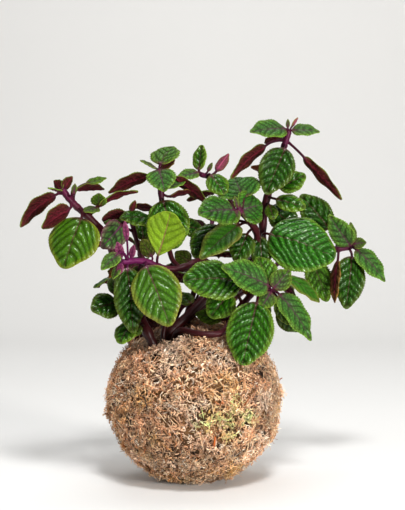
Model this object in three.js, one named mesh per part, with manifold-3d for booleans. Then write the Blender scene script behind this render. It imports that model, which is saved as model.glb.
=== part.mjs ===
// A kokedama: a leafy plant whose root ball is wrapped in dried moss and stands on a small flat foot.
// Millimetres, +Z up. The origin is the middle of the foot, and the front of the plant looks along -Y.
import * as THREE from 'three';
import { mergeVertices } from 'three/addons/utils/BufferGeometryUtils.js';
import Module from 'manifold-3d';

const wasm = await Module();
wasm.setup();

// The ball
const BALL_RADIUS = 62.5;
const BALL_MIDDLE = 58.5; // height of the widest ring
const BALL_RISE = 57; // from the widest ring to the crown
const BALL_DROP = 61; // from the widest ring to the pole that the foot cuts off
const MOSS_THICKNESS = 9.5;
const MOSS_RELIEF = 1.3;
const COARSE_WAVE = 5; // the relief's waves repeat after this times two pi
const FINE_WAVE = 1.3;
const MOSS_ROUND = [40, 18]; // sides around and down
const SOIL_ROUND = [22, 12];
const DIP_CENTRE = [-17, -12]; // the crown sinks here, where the stems come out
const DIP_DEPTH = 9;
const DIP_RADIUS = 34;
const MOUTH_RADIUS = 18;
const MOUTH_SIDES = 16;
const GAP = 0.3; // between pieces that touch

// Places on the plant are [across, height, depth] as seen from the front: across and height are
// measured where the sight line passes the ball's axis, and depth runs towards the back.
const EYE_ACROSS = 6;
const EYE_HEIGHT = 185;
const EYE_DISTANCE = 800;
// Away from the mouth the left side of the plant comes forward and the right side goes back.
const SWEEP = 0.25; // depth for each millimetre across
const SWEEP_CENTRE = [-17, 100];
const SWEEP_FROM = 40; // distance from that centre, in the view from the front
const SWEEP_TO = 100;

// Stems and leaves
const STEM_SIDES = 6;
const BASE_THICKNESS = 1.5; // of a blade on its midrib at the petiole, thinning to the margin
const TIP_THICKNESS = 0.8;
const TIP_HALF_WIDTH = 0.5;
const TOOTH_DEPTH = 0.05; // share of the half width
const PETIOLE_RADIUS = 0.95;
const PETIOLE_FLARE = 1.35; // at the stem
const PETIOLE_BEND = 0.45; // share of its length that runs in line with the blade
const LONG_PETIOLE = 8; // from here a petiole has two stretches
const BASE_ROUNDNESS = 0.48; // powers of the blade's outline
const TIP_ROUNDNESS = 0.56;
const BLADE_ROWS = [[33, 10], [18, 6], [0, 4]]; // rows of a blade from this length up

const COLOURS = { soil: 0x3a2a1e, moss: 0xb4926a, leaf: 0x2f6b26 };

function vector(values) {
  return new THREE.Vector3(...values);
}

function place([across, height, ownDepth]) {
  const off = across - SWEEP_CENTRE[0];
  const away = Math.hypot(off, height - SWEEP_CENTRE[1]);
  const depth = ownDepth + SWEEP * off * THREE.MathUtils.smoothstep(away, SWEEP_FROM, SWEEP_TO);
  const spread = 1 + depth / EYE_DISTANCE;
  return new THREE.Vector3(
    EYE_ACROSS + (across - EYE_ACROSS) * spread,
    depth,
    EYE_HEIGHT + (height - EYE_HEIGHT) * spread,
  );
}

// Solids

function toSolid(geometry) {
  geometry.deleteAttribute('normal');
  geometry.deleteAttribute('uv');
  const merged = mergeVertices(geometry, 1e-4);
  const corners = Uint32Array.from(merged.index.array);
  const vertices = merged.attributes.position.array;
  return new wasm.Manifold(new wasm.Mesh({ numProp: 3, vertProperties: vertices, triVerts: corners }));
}

function toGeometry(solid) {
  const mesh = solid.getMesh();
  const geometry = new THREE.BufferGeometry();
  geometry.setAttribute('position', new THREE.BufferAttribute(mesh.vertProperties, 3));
  geometry.setIndex(new THREE.BufferAttribute(mesh.triVerts, 1));
  geometry.computeVertexNormals();
  return geometry;
}

// A closed bar: its rows follow rowAt(share), which gives the middle, two axes and two half sizes
function bar(sides, rows, rowAt) {
  const geometry = new THREE.CylinderGeometry(1, 1, 1, sides, rows);
  const position = geometry.attributes.position;
  for (let i = 0; i < position.count; i += 1) {
    const across = position.getX(i);
    const along = position.getY(i) + 0.5;
    const over = position.getZ(i);
    const row = rowAt(Math.round(along * rows) / rows);
    const lift = (row.lift ?? 0) * Math.abs(across);
    const point = row.middle
      .clone()
      .addScaledVector(row.side, across * row.halfWidth)
      .addScaledVector(row.up, over * row.halfHeight + lift);
    position.setXYZ(i, point.x, point.y, point.z);
  }
  return toSolid(geometry);
}

// Stems

function stemCurve(stem) {
  return new THREE.CatmullRomCurve3(stem.path.map(place), false, 'centripetal');
}

function stemBar(stem, extra = 0) {
  const curve = stemCurve(stem);
  const rows = stem.rows;
  const [thick, thin] = stem.radii;
  return bar(STEM_SIDES, rows, (share) => {
    const tangent = curve.getTangent(share);
    const side = new THREE.Vector3(0, 1, 0).cross(tangent).normalize();
    const up = tangent.clone().cross(side);
    const radius = THREE.MathUtils.lerp(thick, thin, share) + extra;
    return { middle: curve.getPoint(share), side, up: up.negate(), halfWidth: radius, halfHeight: radius };
  });
}

// The stem's axis runs straight from row to row
function stemPoint(stem, share) {
  const curve = stemCurve(stem);
  const row = Math.floor(share * stem.rows);
  const lower = curve.getPoint(row / stem.rows);
  return lower.lerp(curve.getPoint((row + 1) / stem.rows), share * stem.rows - row);
}

// Leaves: one bar from the stem through the petiole and along the blade

function bladeHalfWidth(share) {
  const widest = BASE_ROUNDNESS / (BASE_ROUNDNESS + TIP_ROUNDNESS);
  const peak = widest ** BASE_ROUNDNESS * (1 - widest) ** TIP_ROUNDNESS;
  return (share ** BASE_ROUNDNESS * (1 - share) ** TIP_ROUNDNESS) / peak;
}

function leafBar(start, leaf) {
  const { base, tip, facing, width, arch, fold } = leaf;
  const run = tip.clone().sub(base);
  const length = run.length();
  const along = run.clone().normalize();
  const side = along.clone().cross(facing).normalize();
  const up = side.clone().cross(along).normalize();
  const bladeRows = BLADE_ROWS.find(([from]) => length > from)[1];
  const petioleLength = start.distanceTo(base);
  const petioleRows = petioleLength > LONG_PETIOLE ? 2 : 1;
  const rows = petioleRows + bladeRows;
  const bend = base.clone().addScaledVector(along, -PETIOLE_BEND * petioleLength);
  const petiole = new THREE.QuadraticBezierCurve3(start, bend, base);
  return bar(4, rows, (share) => {
    const row = Math.round(share * rows);
    if (row <= petioleRows) {
      const radius = row === 0 ? PETIOLE_RADIUS * PETIOLE_FLARE : PETIOLE_RADIUS;
      const middle = petiole.getPoint(row / petioleRows);
      return { middle, side, up, halfWidth: radius, halfHeight: radius };
    }
    const reach = (row - petioleRows) / bladeRows;
    const slowed = (1 - Math.cos(Math.PI * reach)) / 2; // closer rows at both ends
    const s = (reach + slowed) / 2;
    const tooth = row % 2 === 0 ? 1 + TOOTH_DEPTH : 1 - TOOTH_DEPTH;
    const halfWidth = Math.max(TIP_HALF_WIDTH, (width * length * bladeHalfWidth(s) * tooth) / 2);
    const middle = base
      .clone()
      .addScaledVector(along, s * length)
      .addScaledVector(up, 4 * arch * length * s * (1 - s));
    const halfHeight = THREE.MathUtils.lerp(BASE_THICKNESS, TIP_THICKNESS, s) / 2;
    return { middle, side, up, halfWidth, halfHeight, lift: fold * halfWidth };
  });
}

function readLeaf([share, base, tip, facing, width, arch = 0, fold = 0]) {
  return { share, base: place(base), tip: place(tip), facing: vector(facing), width, arch, fold };
}

// Every leafy shoot: its stem from the root end, and its leaves. A leaf row is the share of the stem
// where its petiole leaves, the blade's base and tip, the way its upper face looks, its width as a
// share of its length, the bow of its midrib and the lift of its sides.
const SHOOTS = {
  shoot_left: {
    stem: {
      rows: 12,
      radii: [3.3, 1.8],
      path: [
        [-26, 84, -20], [-29, 96, -25], [-34, 107, -24], [-44, 129, -16], [-55, 152, -8],
        [-61, 170, -6], [-73, 186, -8], [-82, 194, -9], [-89, 201, -10], [-94, 208, -10],
      ],
    },
    leaves: [
      [0.99, [-95, 207, -8], [-100, 214, -2], [0.3, 0.9, 0.3], 0.95, 0.1, 0.2],
      [0.99, [-93, 208, -8], [-87, 217, -9], [-0.4, 0.8, 0.4], 0.75, 0.1, 0.2],
      [0.98, [-95, 207, -12], [-104, 209, -20], [0, -0.3, 1], 0.6, 0, 0.1],
      [0.94, [-99, 204, -8], [-123, 182, -14], [-0.6, 0.6, 0.5], 0.46, 0.13, 0],
      [0.9, [-89, 194, -14], [-108, 181, -26], [-0.2, 0.8, 0.55], 0.6, 0.06, 0.1],
      [0.8, [-80.5, 187.5, -16], [-93, 153, -26], [-0.15, -0.9, 0.35], 1, 0.06, -0.08],
      [0.84, [-85, 208, -8], [-65, 208, 0], [0, 0.35, 0.95], 0.62, 0, 0.3],
      [0.84, [-77, 212, 6], [-63, 216, 6], [0, -0.6, 0.8], 0.6, 0, 0.1],
      [0.96, [-86, 205, -16], [-85, 212, -18], [0.2, -0.9, 0.2], 0.6, 0, 0.1],
      [0.72, [-68, 196, -13], [-68, 205, -17], [0, -0.8, 0.5], 1.2, 0, 0.1],
      [0.72, [-68, 196, -14], [-41, 206, -13], [-0.1, 0.4, 0.9], 0.4, 0.1, 0],
      [0.7, [-69, 195, -14], [-78, 192, -22], [-0.2, -0.8, 0.6], 0.8, 0, 0],
      [0.62, [-62, 171, -2], [-74, 165, 8], [-0.3, 0.3, 0.9], 0.7, 0.05, 0],
      [0.36, [-55, 127, -20], [-73, 122, -30], [-0.4, -0.9, 0.15], 0.98, 0.05, 0],
      [0.4, [-57, 133, -20], [-58, 145, -25], [-0.3, -0.9, 0.2], 0.8, 0, 0],
      [0.22, [-45, 113, -21], [-53, 98, -31], [-0.4, -0.9, 0.1], 0.92, 0.05, 0],
      [0.2, [-39, 111, -27], [-43, 103, -29], [0, -1, 0.2], 0.9, 0, 0],
    ],
  },
  shoot_inner_left: {
    stem: {
      rows: 9,
      radii: [1.8, 1.4],
      path: [
        [-21, 88, -15], [-22, 104, -15], [-21, 111, -13], [-24, 129, -8], [-33, 150, -3],
        [-40, 168, 0], [-44, 183, 1], [-45, 192, 0],
      ],
    },
    leaves: [
      [0.99, [-45, 192, -1], [-42, 200, -4], [-0.3, 0.9, 0.3], 0.6, 0, 0.1],
      [0.92, [-47, 186, 4], [-65, 187, 2], [0, 0.9, 0.4], 0.85, 0.05, 0.1],
      [0.9, [-49, 184, -3], [-62, 182, -8], [0, -0.7, 0.7], 0.75, 0, 0.1],
      [0.86, [-52, 183, -12], [-66, 167, -22], [0.5, -0.85, 0], 0.85, 0.05, 0.2],
      [0.8, [-51, 181, -2], [-64, 184, -6], [0, -0.8, 0.6], 0.7, 0, 0.1],
      [0.7, [-36, 172, 8], [-38, 187, 14], [0, -0.9, 0.4], 0.8, 0, 0],
      [0.6, [-44, 158, 4], [-58, 146, 22], [-0.3, 0.3, 0.9], 0.8, 0.08, 0],
    ],
  },
  shoot_magenta: {
    stem: {
      rows: 18,
      radii: [3.5, 1.6],
      path: [
        [-21, 88, -8], [-20, 102, -8], [-14, 109, -6], [-6, 116, -3], [1, 123, 0],
        [7, 130, 4], [13, 139, 7], [13, 150, 3], [7, 157, -5], [1, 156, -10],
        [-5, 153, -13], [-16, 151, -17], [-26, 153, -22], [-33, 156, -25], [-42, 157, -30],
        [-52, 156, -34],
      ],
    },
    leaves: [
      [0.88, [-34, 153, -32], [-18, 112, -48], [0.05, -0.93, 0.35], 0.77, 0.08, -0.05],
      [0.8, [-26, 160, -24], [-17, 190.5, -30], [-0.1, -1, 0.15], 0.9, -0.08, 0.12],
      [0.85, [-30, 160, -22], [-37, 172, -20], [-0.3, -0.9, 0.2], 0.8, 0, 0],
      [0.96, [-48, 152, -32], [-44, 107, -33], [0.35, -0.9, 0.2], 0.55, 0.06, 0],
      [0.9, [-39, 153, -25], [-42, 143, -24], [0, -0.9, 0.2], 0.9, 0, 0],
      [0.99, [-52, 159, -35], [-55, 170, -37], [0.3, -0.9, 0], 0.55, 0, 0.1],
      [0.96, [-45, 159, -31], [-43, 168, -32], [-0.3, -0.9, 0], 0.55, 0, 0.1],
      [0.97, [-48, 172, -30], [-49.5, 185, -31], [0, -0.9, 0.4], 0.35, 0, 0],
      [0.99, [-52, 155, -36], [-54, 147, -40], [0, -0.9, 0.2], 0.6, 0, 0.1],
      [0.97, [-54, 162, -39], [-66, 151, -45], [-0.3, -0.9, 0.3], 0.7, 0, 0.1],
      [0.99, [-54, 153, -36], [-58, 144, -42], [-0.2, -0.9, 0.3], 0.6, 0, 0],
      [0.99, [-55, 153, -33], [-61, 145, -33], [-0.4, -0.8, 0.3], 0.5, 0, 0],
      [0.68, [-3, 156, -4], [-13, 163, 2], [0, -0.95, 0.3], 0.9, 0, 0],
      [0.32, [-2, 126, 4], [-9, 134, 12], [0, -0.9, 0.4], 0.8, 0, 0],
    ],
  },
  shoot_upper_left: {
    parent: 'shoot_magenta',
    stem: {
      rows: 9,
      radii: [1.6, 1.9],
      path: [
        [-10, 152, -15], [-15, 157, -13], [-18, 166, -10], [-21, 183, -4], [-23, 200, -2],
        [-24, 212, -2], [-25, 222, -2],
      ],
    },
    leaves: [
      [0.62, [-22, 200, -8], [-14, 167, -16], [0.05, -0.95, 0.3], 0.88, 0.06, 0],
      [0.52, [-30, 187, -6], [-52, 187, -14], [0, -0.6, 0.8], 0.85, 0.05, 0],
      [0.62, [-28, 194, 0], [-43, 195, 10], [0, 0.5, 0.85], 0.75, 0.05, 0],
      [0.97, [-24, 226, -3], [-16, 238, 15], [-0.2, -0.75, 0.65], 0.85, 0.04, 0.06],
      [0.97, [-27, 223, -3], [-38, 228.5, -7], [0, -0.5, 0.85], 0.6, 0, 0.1],
      [0.97, [-23, 222, 0], [-14, 229, 4], [0, -0.5, 0.85], 0.6, 0, 0.1],
      [0.97, [-25, 222, -6], [-21, 207, -18], [0, -0.7, 0.7], 1.1, 0.05, 0.1],
      [0.9, [-33, 218, -3], [-60, 206, 4], [-0.2, 0.7, 0.7], 0.44, 0.07, 0],
      [0.88, [-14, 217, -2], [9, 198, 2], [0.3, 0.7, 0.6], 0.38, 0.05, 0],
      [0.74, [-17, 203, -2], [-2, 206, 4], [0, 0.5, 0.85], 0.6, 0.05, 0],
      [0.8, [-20, 209, -6], [-6, 214, 0], [-0.1, -0.5, 0.85], 0.6, 0, 0.1],
      [0.5, [-9, 182, 4], [6, 179, 10], [0, -0.9, 0.4], 0.85, 0.05, 0],
    ],
  },
  shoot_right: {
    stem: {
      rows: 15,
      radii: [3.2, 1.9],
      path: [
        [-16, 88, 2], [-15, 102, 2], [-9, 110, 5], [-1, 119, 9], [7, 127, 13],
        [20, 139, 18], [35, 153, 20], [49, 162, 20], [66, 164, 16], [84, 164, 12],
        [99, 165, 9], [107, 166, 8], [114, 168, 7],
      ],
    },
    leaves: [
      [0.98, [112, 168, 3], [97, 189, -2], [-0.5, -0.8, 0.4], 0.6, 0.05, 0.05],
      [0.98, [114, 170, 9], [112, 184, 14], [0.3, -0.9, 0.3], 0.5, 0, 0.1],
      [0.98, [114, 169, 2], [123, 170, -4], [0.2, -0.9, 0.3], 0.95, 0, 0.1],
      [0.97, [116, 165, 3], [136, 143, -6], [0.35, -0.75, 0.55], 0.66, 0.06, 0],
      [0.95, [113, 160, 3], [109, 124, -5], [0.1, -0.95, 0.25], 0.62, 0.05, 0.05],
      [0.88, [103, 157, 0], [101, 128, -8], [-0.8, -0.6, 0], 0.36, 0.03, 0.1],
      [0.87, [97, 180, 16], [77, 203, 23], [0, -0.95, 0.3], 0.74, 0.05, 0],
      [0.76, [84, 158, 10], [95, 129, 3], [0.1, -0.92, 0.35], 0.64, 0.05, 0],
    ],
  },
  shoot_top: {
    parent: 'shoot_right',
    stem: {
      rows: 8,
      radii: [2.8, 1.8],
      path: [
        [50, 163, 20], [49, 172, 21], [51, 197, 18], [58, 219, 14], [64, 238, 10],
        [68, 250, 8],
      ],
    },
    leaves: [
      [0.98, [65, 251, 6], [41, 249, 0], [-0.1, -0.75, 0.65], 0.75, 0.05, 0.05],
      [0.98, [70, 250, 7], [89, 249, 1], [0.1, -0.65, 0.75], 0.78, 0.05, 0.05],
      [0.82, [65, 237, 3], [52, 206, -9], [0.1, -0.9, 0.4], 0.68, 0.06, 0],
      [0.88, [51, 239, 9], [27.5, 217, 1], [-0.5, 0.7, 0.5], 0.34, 0.07, 0],
      [0.88, [78.5, 231, 9], [104.5, 202, 1], [0.5, 0.7, 0.5], 0.26, 0.02, 0],
      [0.99, [70, 253, 8], [74, 259, 9], [-0.6, 0.6, 0.5], 0.5, 0, 0.1],
      [0.99, [67, 252, 6], [67, 258, 4], [0, -0.9, 0.3], 0.5, 0, 0.1],
      [0.93, [63, 246, 12], [51, 241, 24], [0, 0.3, 0.95], 0.8, 0.05, 0],
      [0.7, [52, 222, 14], [41, 224, 17], [-0.2, 0.4, 0.85], 0.9, 0, 0],
      [0.55, [61, 209, 10], [79, 218, 4], [0.1, -0.85, 0.5], 0.85, 0.05, 0],
      [0.45, [59, 201, 8], [79, 195, -3], [0.2, -0.85, 0.5], 0.72, 0.05, 0],
      [0.4, [54, 197, 11], [57, 187, 4], [0, -0.9, 0.4], 0.8, 0, 0],
      [0.3, [54, 194, 20], [75, 180, 18], [0.1, -0.9, 0.4], 0.85, 0.05, 0],
      [0.18, [55, 176, 5], [97, 161, -12], [0.15, -0.85, 0.5], 0.88, 0.09, -0.05],
    ],
  },
  shoot_front: {
    parent: 'shoot_right',
    stem: {
      rows: 6,
      radii: [2.4, 2],
      path: [
        [43, 158, 20], [44, 165, 11], [45, 176, 3], [40, 185, -7], [33, 192, -15], [31, 194, -17],
      ],
    },
    leaves: [
      [0.97, [29, 193, -20], [4, 191, -31], [-0.1, -0.85, 0.5], 0.88, 0.06, 0],
      [0.97, [33, 193, -16], [48, 197, -1], [0.55, -0.75, 0.35], 1.05, 0.05, 0],
      [0.99, [31, 195, -18], [29, 203, -20], [0.2, -0.9, 0.2], 0.5, 0, 0.1],
      [0.99, [31, 193, -20], [30, 184, -26], [0, -0.8, 0.5], 0.5, 0, 0.1],
      [0.8, [35, 202, -9], [29, 216, 18], [-0.1, -0.8, 0.5], 1.1, 0.05, 0],
      [0.55, [17, 182, 0], [1, 160, -8], [-0.3, -0.9, 0.2], 0.8, 0.06, 0],
      [0.6, [32, 182, -8], [6, 159, -17], [-0.3, -0.85, 0.4], 0.55, 0.05, 0.15],
      [0.5, [38, 176, 0], [30, 157, -5], [0, -0.95, 0.3], 0.8, 0.05, 0],
      [0.45, [47, 174, 6], [49, 152, -1], [0.1, -0.95, 0.3], 0.7, 0.05, 0],
    ],
  },
  shoot_middle: {
    parent: 'shoot_right',
    stem: {
      rows: 8,
      radii: [1.9, 1.6],
      path: [
        [33, 151, 20], [33, 165, 23], [30, 188, 27], [24, 204, 27], [14, 215, 19], [4, 219, 10],
      ],
    },
    leaves: [
      [0.97, [3.5, 222, 8], [5.5, 239, 11], [-0.5, -0.85, 0], 0.66, 0, 0.25],
      [0.98, [3, 220, 6], [-11, 217, 2], [0, -0.75, 0.65], 0.7, 0, 0.1],
      [0.88, [12, 218, 8], [22, 205, 0], [0.2, -0.8, 0.5], 1, 0.05, 0],
      [0.88, [16, 221, 14], [24.5, 233, 16], [0.5, 0.7, 0.4], 0.5, 0, 0.1],
      [0.95, [10, 221, 10], [13, 227, 8], [0.1, -0.9, 0.4], 0.5, 0, 0],
      [0.7, [14, 206, 34], [-4, 200, 48], [-0.2, 0.3, 0.9], 0.7, 0.08, 0],
          ],
  },
  shoot_low_right: {
    stem: {
      rows: 13,
      radii: [2.3, 1.9],
      path: [
        [-15, 88, -14], [-14, 101, -15], [-9, 107, -24], [1, 105, -34], [11, 104, -37],
        [19, 105, -35], [25, 111, -27], [30, 120, -21], [37, 128, -20], [44, 136, -22],
        [51, 137, -28], [55, 136, -31],
      ],
    },
    leaves: [
      [0.97, [53, 139, -35], [21, 152, -44], [-0.1, -0.85, 0.5], 0.64, 0.06, 0],
      [0.97, [54, 140, -27], [46, 159, -15], [-0.1, -0.85, 0.5], 0.85, 0.05, 0],
      [0.99, [57, 137, -32], [68, 150, -31], [0.1, -0.9, 0.4], 0.85, 0, 0.1],
      [0.99, [55, 134, -34], [48, 123, -41], [0, -0.9, 0.4], 0.8, 0, 0.1],
      [0.98, [61, 133, -32], [83, 101, -42], [0.6, -0.7, 0.35], 0.62, 0.06, 0.05],
      [0.95, [60, 130, -26], [68, 112, -26], [0, -0.95, 0.3], 0.6, 0, 0],
      [0.9, [62, 124, -18], [75, 107, -16], [0, -0.95, 0.2], 0.8, 0.05, 0],
      [0.85, [50, 126, -26], [52, 116, -29], [0, -0.95, 0.2], 0.9, 0, 0],
      [0.82, [45, 127, -37], [35, 84, -47], [0, -0.96, 0.25], 0.75, 0.08, -0.04],
      [0.78, [33, 142, -26], [-6, 143, -36], [0, -0.85, 0.5], 0.78, 0.1, -0.05],
      [0.7, [26, 134, -22], [12, 117, -28], [-0.1, -0.95, 0.3], 0.92, 0.05, 0],
      [0.6, [20, 115, -18], [2, 119, -10], [0, -0.9, 0.3], 0.6, 0.05, 0],
      [0.88, [43, 134, -17], [34, 139, -16], [0, -0.9, 0.3], 0.8, 0, 0],
      [0.97, [67, 144.5, -17], [89, 128, -22], [0.1, -0.4, 0.9], 0.8, 0.08, 0],
    ],
  },
};

// Shoots at the back: the stem is given and the leaves follow a rule. Pairs stand crosswise up the
// stem, a little shorter and steeper towards the tip.
const BACK_SHOOTS = {
  shoot_back_left: {
    turn: 1.55,
    seed: 17,
    path: [[-20, 88, 6], [-20, 102, 8], [-24, 118, 22], [-32, 138, 38], [-38, 158, 52], [-40, 172, 60]],
  },
  shoot_back_middle: {
    turn: 1.2,
    seed: 17,
    path: [[-11, 88, 12], [-10, 102, 14], [-4, 122, 30], [4, 148, 48], [10, 170, 62], [14, 190, 70]],
  },
  shoot_back_right: {
    turn: 1.4,
    seed: 19,
    path: [[-6, 88, 5], [-4, 102, 8], [12, 116, 26], [32, 132, 42], [52, 148, 54], [68, 162, 62]],
  },
  shoot_back_low: {
    turn: 0.3,
    seed: 8,
    raise: 0.3,
    size: 0.75,
    path: [[-16, 88, 18], [-16, 101, 20], [-12, 119, 38], [-4, 127, 56], [4, 125, 74], [8, 118, 86]],
  },
};
const BACK_RADII = [2.4, 1.5];
const BACK_PAIRS = [0.54, 0.7, 0.85, 0.97]; // shares of the stem
const BACK_LEAF_LENGTHS = [36, 33, 25, 13];
const BACK_PETIOLES = [9, 8, 5, 2];
const BACK_DROOPS = [0.35, 0.3, 0.1, -0.5]; // angles below level, in radians
const BACK_WIDTH = 0.78;
const BACK_ARCH = 0.08;
const BACK_FOLD = 0.05;
const BACK_LOOK_OUT = 0.4; // how far the upper faces tip away from the stem
const BACK_LOOK_ALONG = 0.5; // and along it
const BACK_ROWS = 8;
const TURN_SPREAD = 0.4; // how far the random draws move a leaf's turn, droop and length
const DROOP_SPREAD = 0.2;
const LENGTH_SPREAD = 0.16;

function seeded(seed) {
  let state = seed;
  return () => {
    state = (state * 1664525 + 1013904223) % 4294967296;
    return state / 4294967296;
  };
}

function backShoot({ path, turn, seed, raise = 0, size = 1 }) {
  const random = seeded(seed);
  const stem = { path, rows: BACK_ROWS, radii: BACK_RADII };
  const curve = stemCurve(stem);
  const leaves = [];
  BACK_PAIRS.forEach((share, k) => {
    const point = stemPoint(stem, share);
    const tangent = curve.getTangent(share);
    const first = new THREE.Vector3(0, 0, 1).cross(tangent).normalize();
    const second = tangent.clone().cross(first);
    for (const half of [0, 1]) {
      const angle = turn + (k / 2 + half) * Math.PI + (random() - 0.5) * TURN_SPREAD;
      const out = first.clone().multiplyScalar(Math.cos(angle)).addScaledVector(second, Math.sin(angle));
      const droop = BACK_DROOPS[k] - raise + (random() - 0.5) * DROOP_SPREAD;
      const length = size * BACK_LEAF_LENGTHS[k] * (1 + (random() - 0.5) * LENGTH_SPREAD);
      const base = point.clone().addScaledVector(out, BACK_PETIOLES[k] + BACK_RADII[1]);
      const tip = base.clone().addScaledVector(out, length * Math.cos(droop));
      tip.z -= length * Math.sin(droop);
      const facing = new THREE.Vector3(0, 0, 1)
        .addScaledVector(out, BACK_LOOK_OUT)
        .addScaledVector(tangent, BACK_LOOK_ALONG);
      leaves.push({ share, base, tip, facing, width: BACK_WIDTH, arch: BACK_ARCH, fold: BACK_FOLD });
    }
  });
  return { stem, leaves };
}

// The ball: an egg whose crown sinks towards the stems

function dip(x, y, depth) {
  const away = Math.hypot(x - DIP_CENTRE[0], y - DIP_CENTRE[1]) / DIP_RADIUS;
  return away < 1 ? depth * (1 - away * away) ** 2 : 0;
}

function relief({ x, y, z }, height) {
  const coarse = Math.sin(x / COARSE_WAVE) * Math.sin(y / COARSE_WAVE) * Math.cos(z / COARSE_WAVE);
  const fine = Math.sin((x + z / 2) / FINE_WAVE) * Math.cos((y - z / 2) / FINE_WAVE);
  return (height * (coarse + fine)) / 2;
}

function ball(inset, [around, down], reliefHeight) {
  const geometry = new THREE.SphereGeometry(1, around, down);
  geometry.rotateX(Math.PI / 2);
  const position = geometry.attributes.position;
  const rise = BALL_RISE - inset;
  const drop = BALL_DROP - inset;
  const radius = BALL_RADIUS - inset;
  for (let i = 0; i < position.count; i += 1) {
    const direction = new THREE.Vector3().fromBufferAttribute(position, i);
    const point = direction.clone().multiplyScalar(radius);
    point.z = direction.z * (direction.z > 0 ? rise : drop);
    point.addScaledVector(direction, relief(point, reliefHeight));
    point.z += BALL_MIDDLE;
    if (direction.z > 0) {
      point.z -= dip(point.x, point.y, DIP_DEPTH);
    }
    position.setXYZ(i, point.x, point.y, point.z);
  }
  return toSolid(geometry);
}

function mouth() {
  const geometry = new THREE.CylinderGeometry(MOUTH_RADIUS, MOUTH_RADIUS, BALL_RISE, MOUTH_SIDES);
  geometry.rotateX(Math.PI / 2);
  geometry.translate(DIP_CENTRE[0], DIP_CENTRE[1], BALL_MIDDLE + BALL_RISE);
  return toSolid(geometry);
}

function underFloor() {
  const geometry = new THREE.BoxGeometry(4 * BALL_RADIUS, 4 * BALL_RADIUS, BALL_DROP);
  geometry.translate(0, 0, -BALL_DROP / 2);
  return toSolid(geometry);
}

// Assembly

const shoots = { ...SHOOTS };
for (const shoot of Object.values(shoots)) {
  shoot.leaves = shoot.leaves.map(readLeaf);
}
for (const [name, spec] of Object.entries(BACK_SHOOTS)) {
  shoots[name] = backShoot(spec);
}

function shootSolid(shoot) {
  let solid = stemBar(shoot.stem);
  for (const leaf of shoot.leaves) {
    solid = solid.add(leafBar(stemPoint(shoot.stem, leaf.share), leaf));
  }
  return shoot.parent ? solid.subtract(stemBar(shoots[shoot.parent].stem, GAP)) : solid;
}

function addNode(group, name, solid, color, roughness) {
  const material = new THREE.MeshStandardMaterial({ color, roughness, metalness: 0 });
  const mesh = new THREE.Mesh(toGeometry(solid), material);
  mesh.name = name;
  group.add(mesh);
}

const kokedama = new THREE.Group();
let soil = ball(MOSS_THICKNESS, SOIL_ROUND, 0);
let moss = ball(0, MOSS_ROUND, MOSS_RELIEF)
  .subtract(ball(MOSS_THICKNESS - GAP, SOIL_ROUND, 0))
  .subtract(mouth())
  .subtract(underFloor());
for (const shoot of Object.values(shoots)) {
  if (!shoot.parent) {
    const hole = stemBar(shoot.stem, GAP);
    soil = soil.subtract(hole);
    moss = moss.subtract(hole);
  }
}
addNode(kokedama, 'soil_core', soil, COLOURS.soil, 0.95);
addNode(kokedama, 'moss_wrap', moss, COLOURS.moss, 0.95);
for (const [name, shoot] of Object.entries(shoots)) {
  addNode(kokedama, name, shootSolid(shoot), COLOURS.leaf, 0.5);
}

export default kokedama;
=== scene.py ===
# A kokedama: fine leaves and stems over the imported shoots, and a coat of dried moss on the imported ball.
# Shapes are worked out in millimetres, with +Z up, and become metres when a mesh is made.
import bpy
import numpy as np
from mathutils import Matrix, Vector


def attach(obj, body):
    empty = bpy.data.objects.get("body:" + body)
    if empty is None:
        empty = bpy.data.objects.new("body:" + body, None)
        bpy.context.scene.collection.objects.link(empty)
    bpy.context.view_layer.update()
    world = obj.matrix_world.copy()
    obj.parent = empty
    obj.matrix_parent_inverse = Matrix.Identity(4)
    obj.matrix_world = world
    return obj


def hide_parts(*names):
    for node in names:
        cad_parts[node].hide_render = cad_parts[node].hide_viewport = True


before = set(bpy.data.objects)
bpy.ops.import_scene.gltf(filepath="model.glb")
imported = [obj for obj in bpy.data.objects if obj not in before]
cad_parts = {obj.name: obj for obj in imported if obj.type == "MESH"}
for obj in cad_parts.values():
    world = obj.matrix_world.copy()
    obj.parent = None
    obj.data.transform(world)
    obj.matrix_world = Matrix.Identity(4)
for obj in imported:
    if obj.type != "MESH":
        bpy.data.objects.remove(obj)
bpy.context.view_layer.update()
print("frame loaded")


# colour, noise and small maths

def paint(code):  # a screen colour in six hex digits, as linear light
    screen = np.array([int(code[i:i + 2], 16) / 255 for i in (0, 2, 4)])
    return np.where(screen <= 0.04045, screen / 12.92, ((screen + 0.055) / 1.055) ** 2.4)


def unit(vectors):
    return vectors / np.maximum(np.linalg.norm(vectors, axis=-1, keepdims=True), 1e-9)


def ease(value, low, high):  # 0 below low, 1 above high, smooth between
    share = np.clip((value - low) / (high - low), 0, 1)
    return share * share * (3 - 2 * share)


def blend(first, second, share):
    return first + (second - first) * share


def stacked(*values):  # values of shapes that fit each other, side by side along a new last axis
    return np.stack(np.broadcast_arrays(*values), -1)


def cloud(points, size, seed):
    # smooth noise from -1 to 1: random values on a cubic lattice, eased between; large primes spread the
    # lattice's corners over the list of values
    values = np.random.default_rng(seed).uniform(-1, 1, 65536)
    primes = 73856093, 19349663, 83492791
    cell = np.floor(points / size).astype(np.int64)
    part = ease(points / size - cell, 0, 1)
    total = 0
    for corner in np.ndindex(2, 2, 2):
        key = ((cell + corner) * primes).sum(-1) % len(values)
        total = total + values[key] * np.prod(np.where(corner, part, 1 - part), axis=-1)
    return total


# from surfaces to pieces

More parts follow.
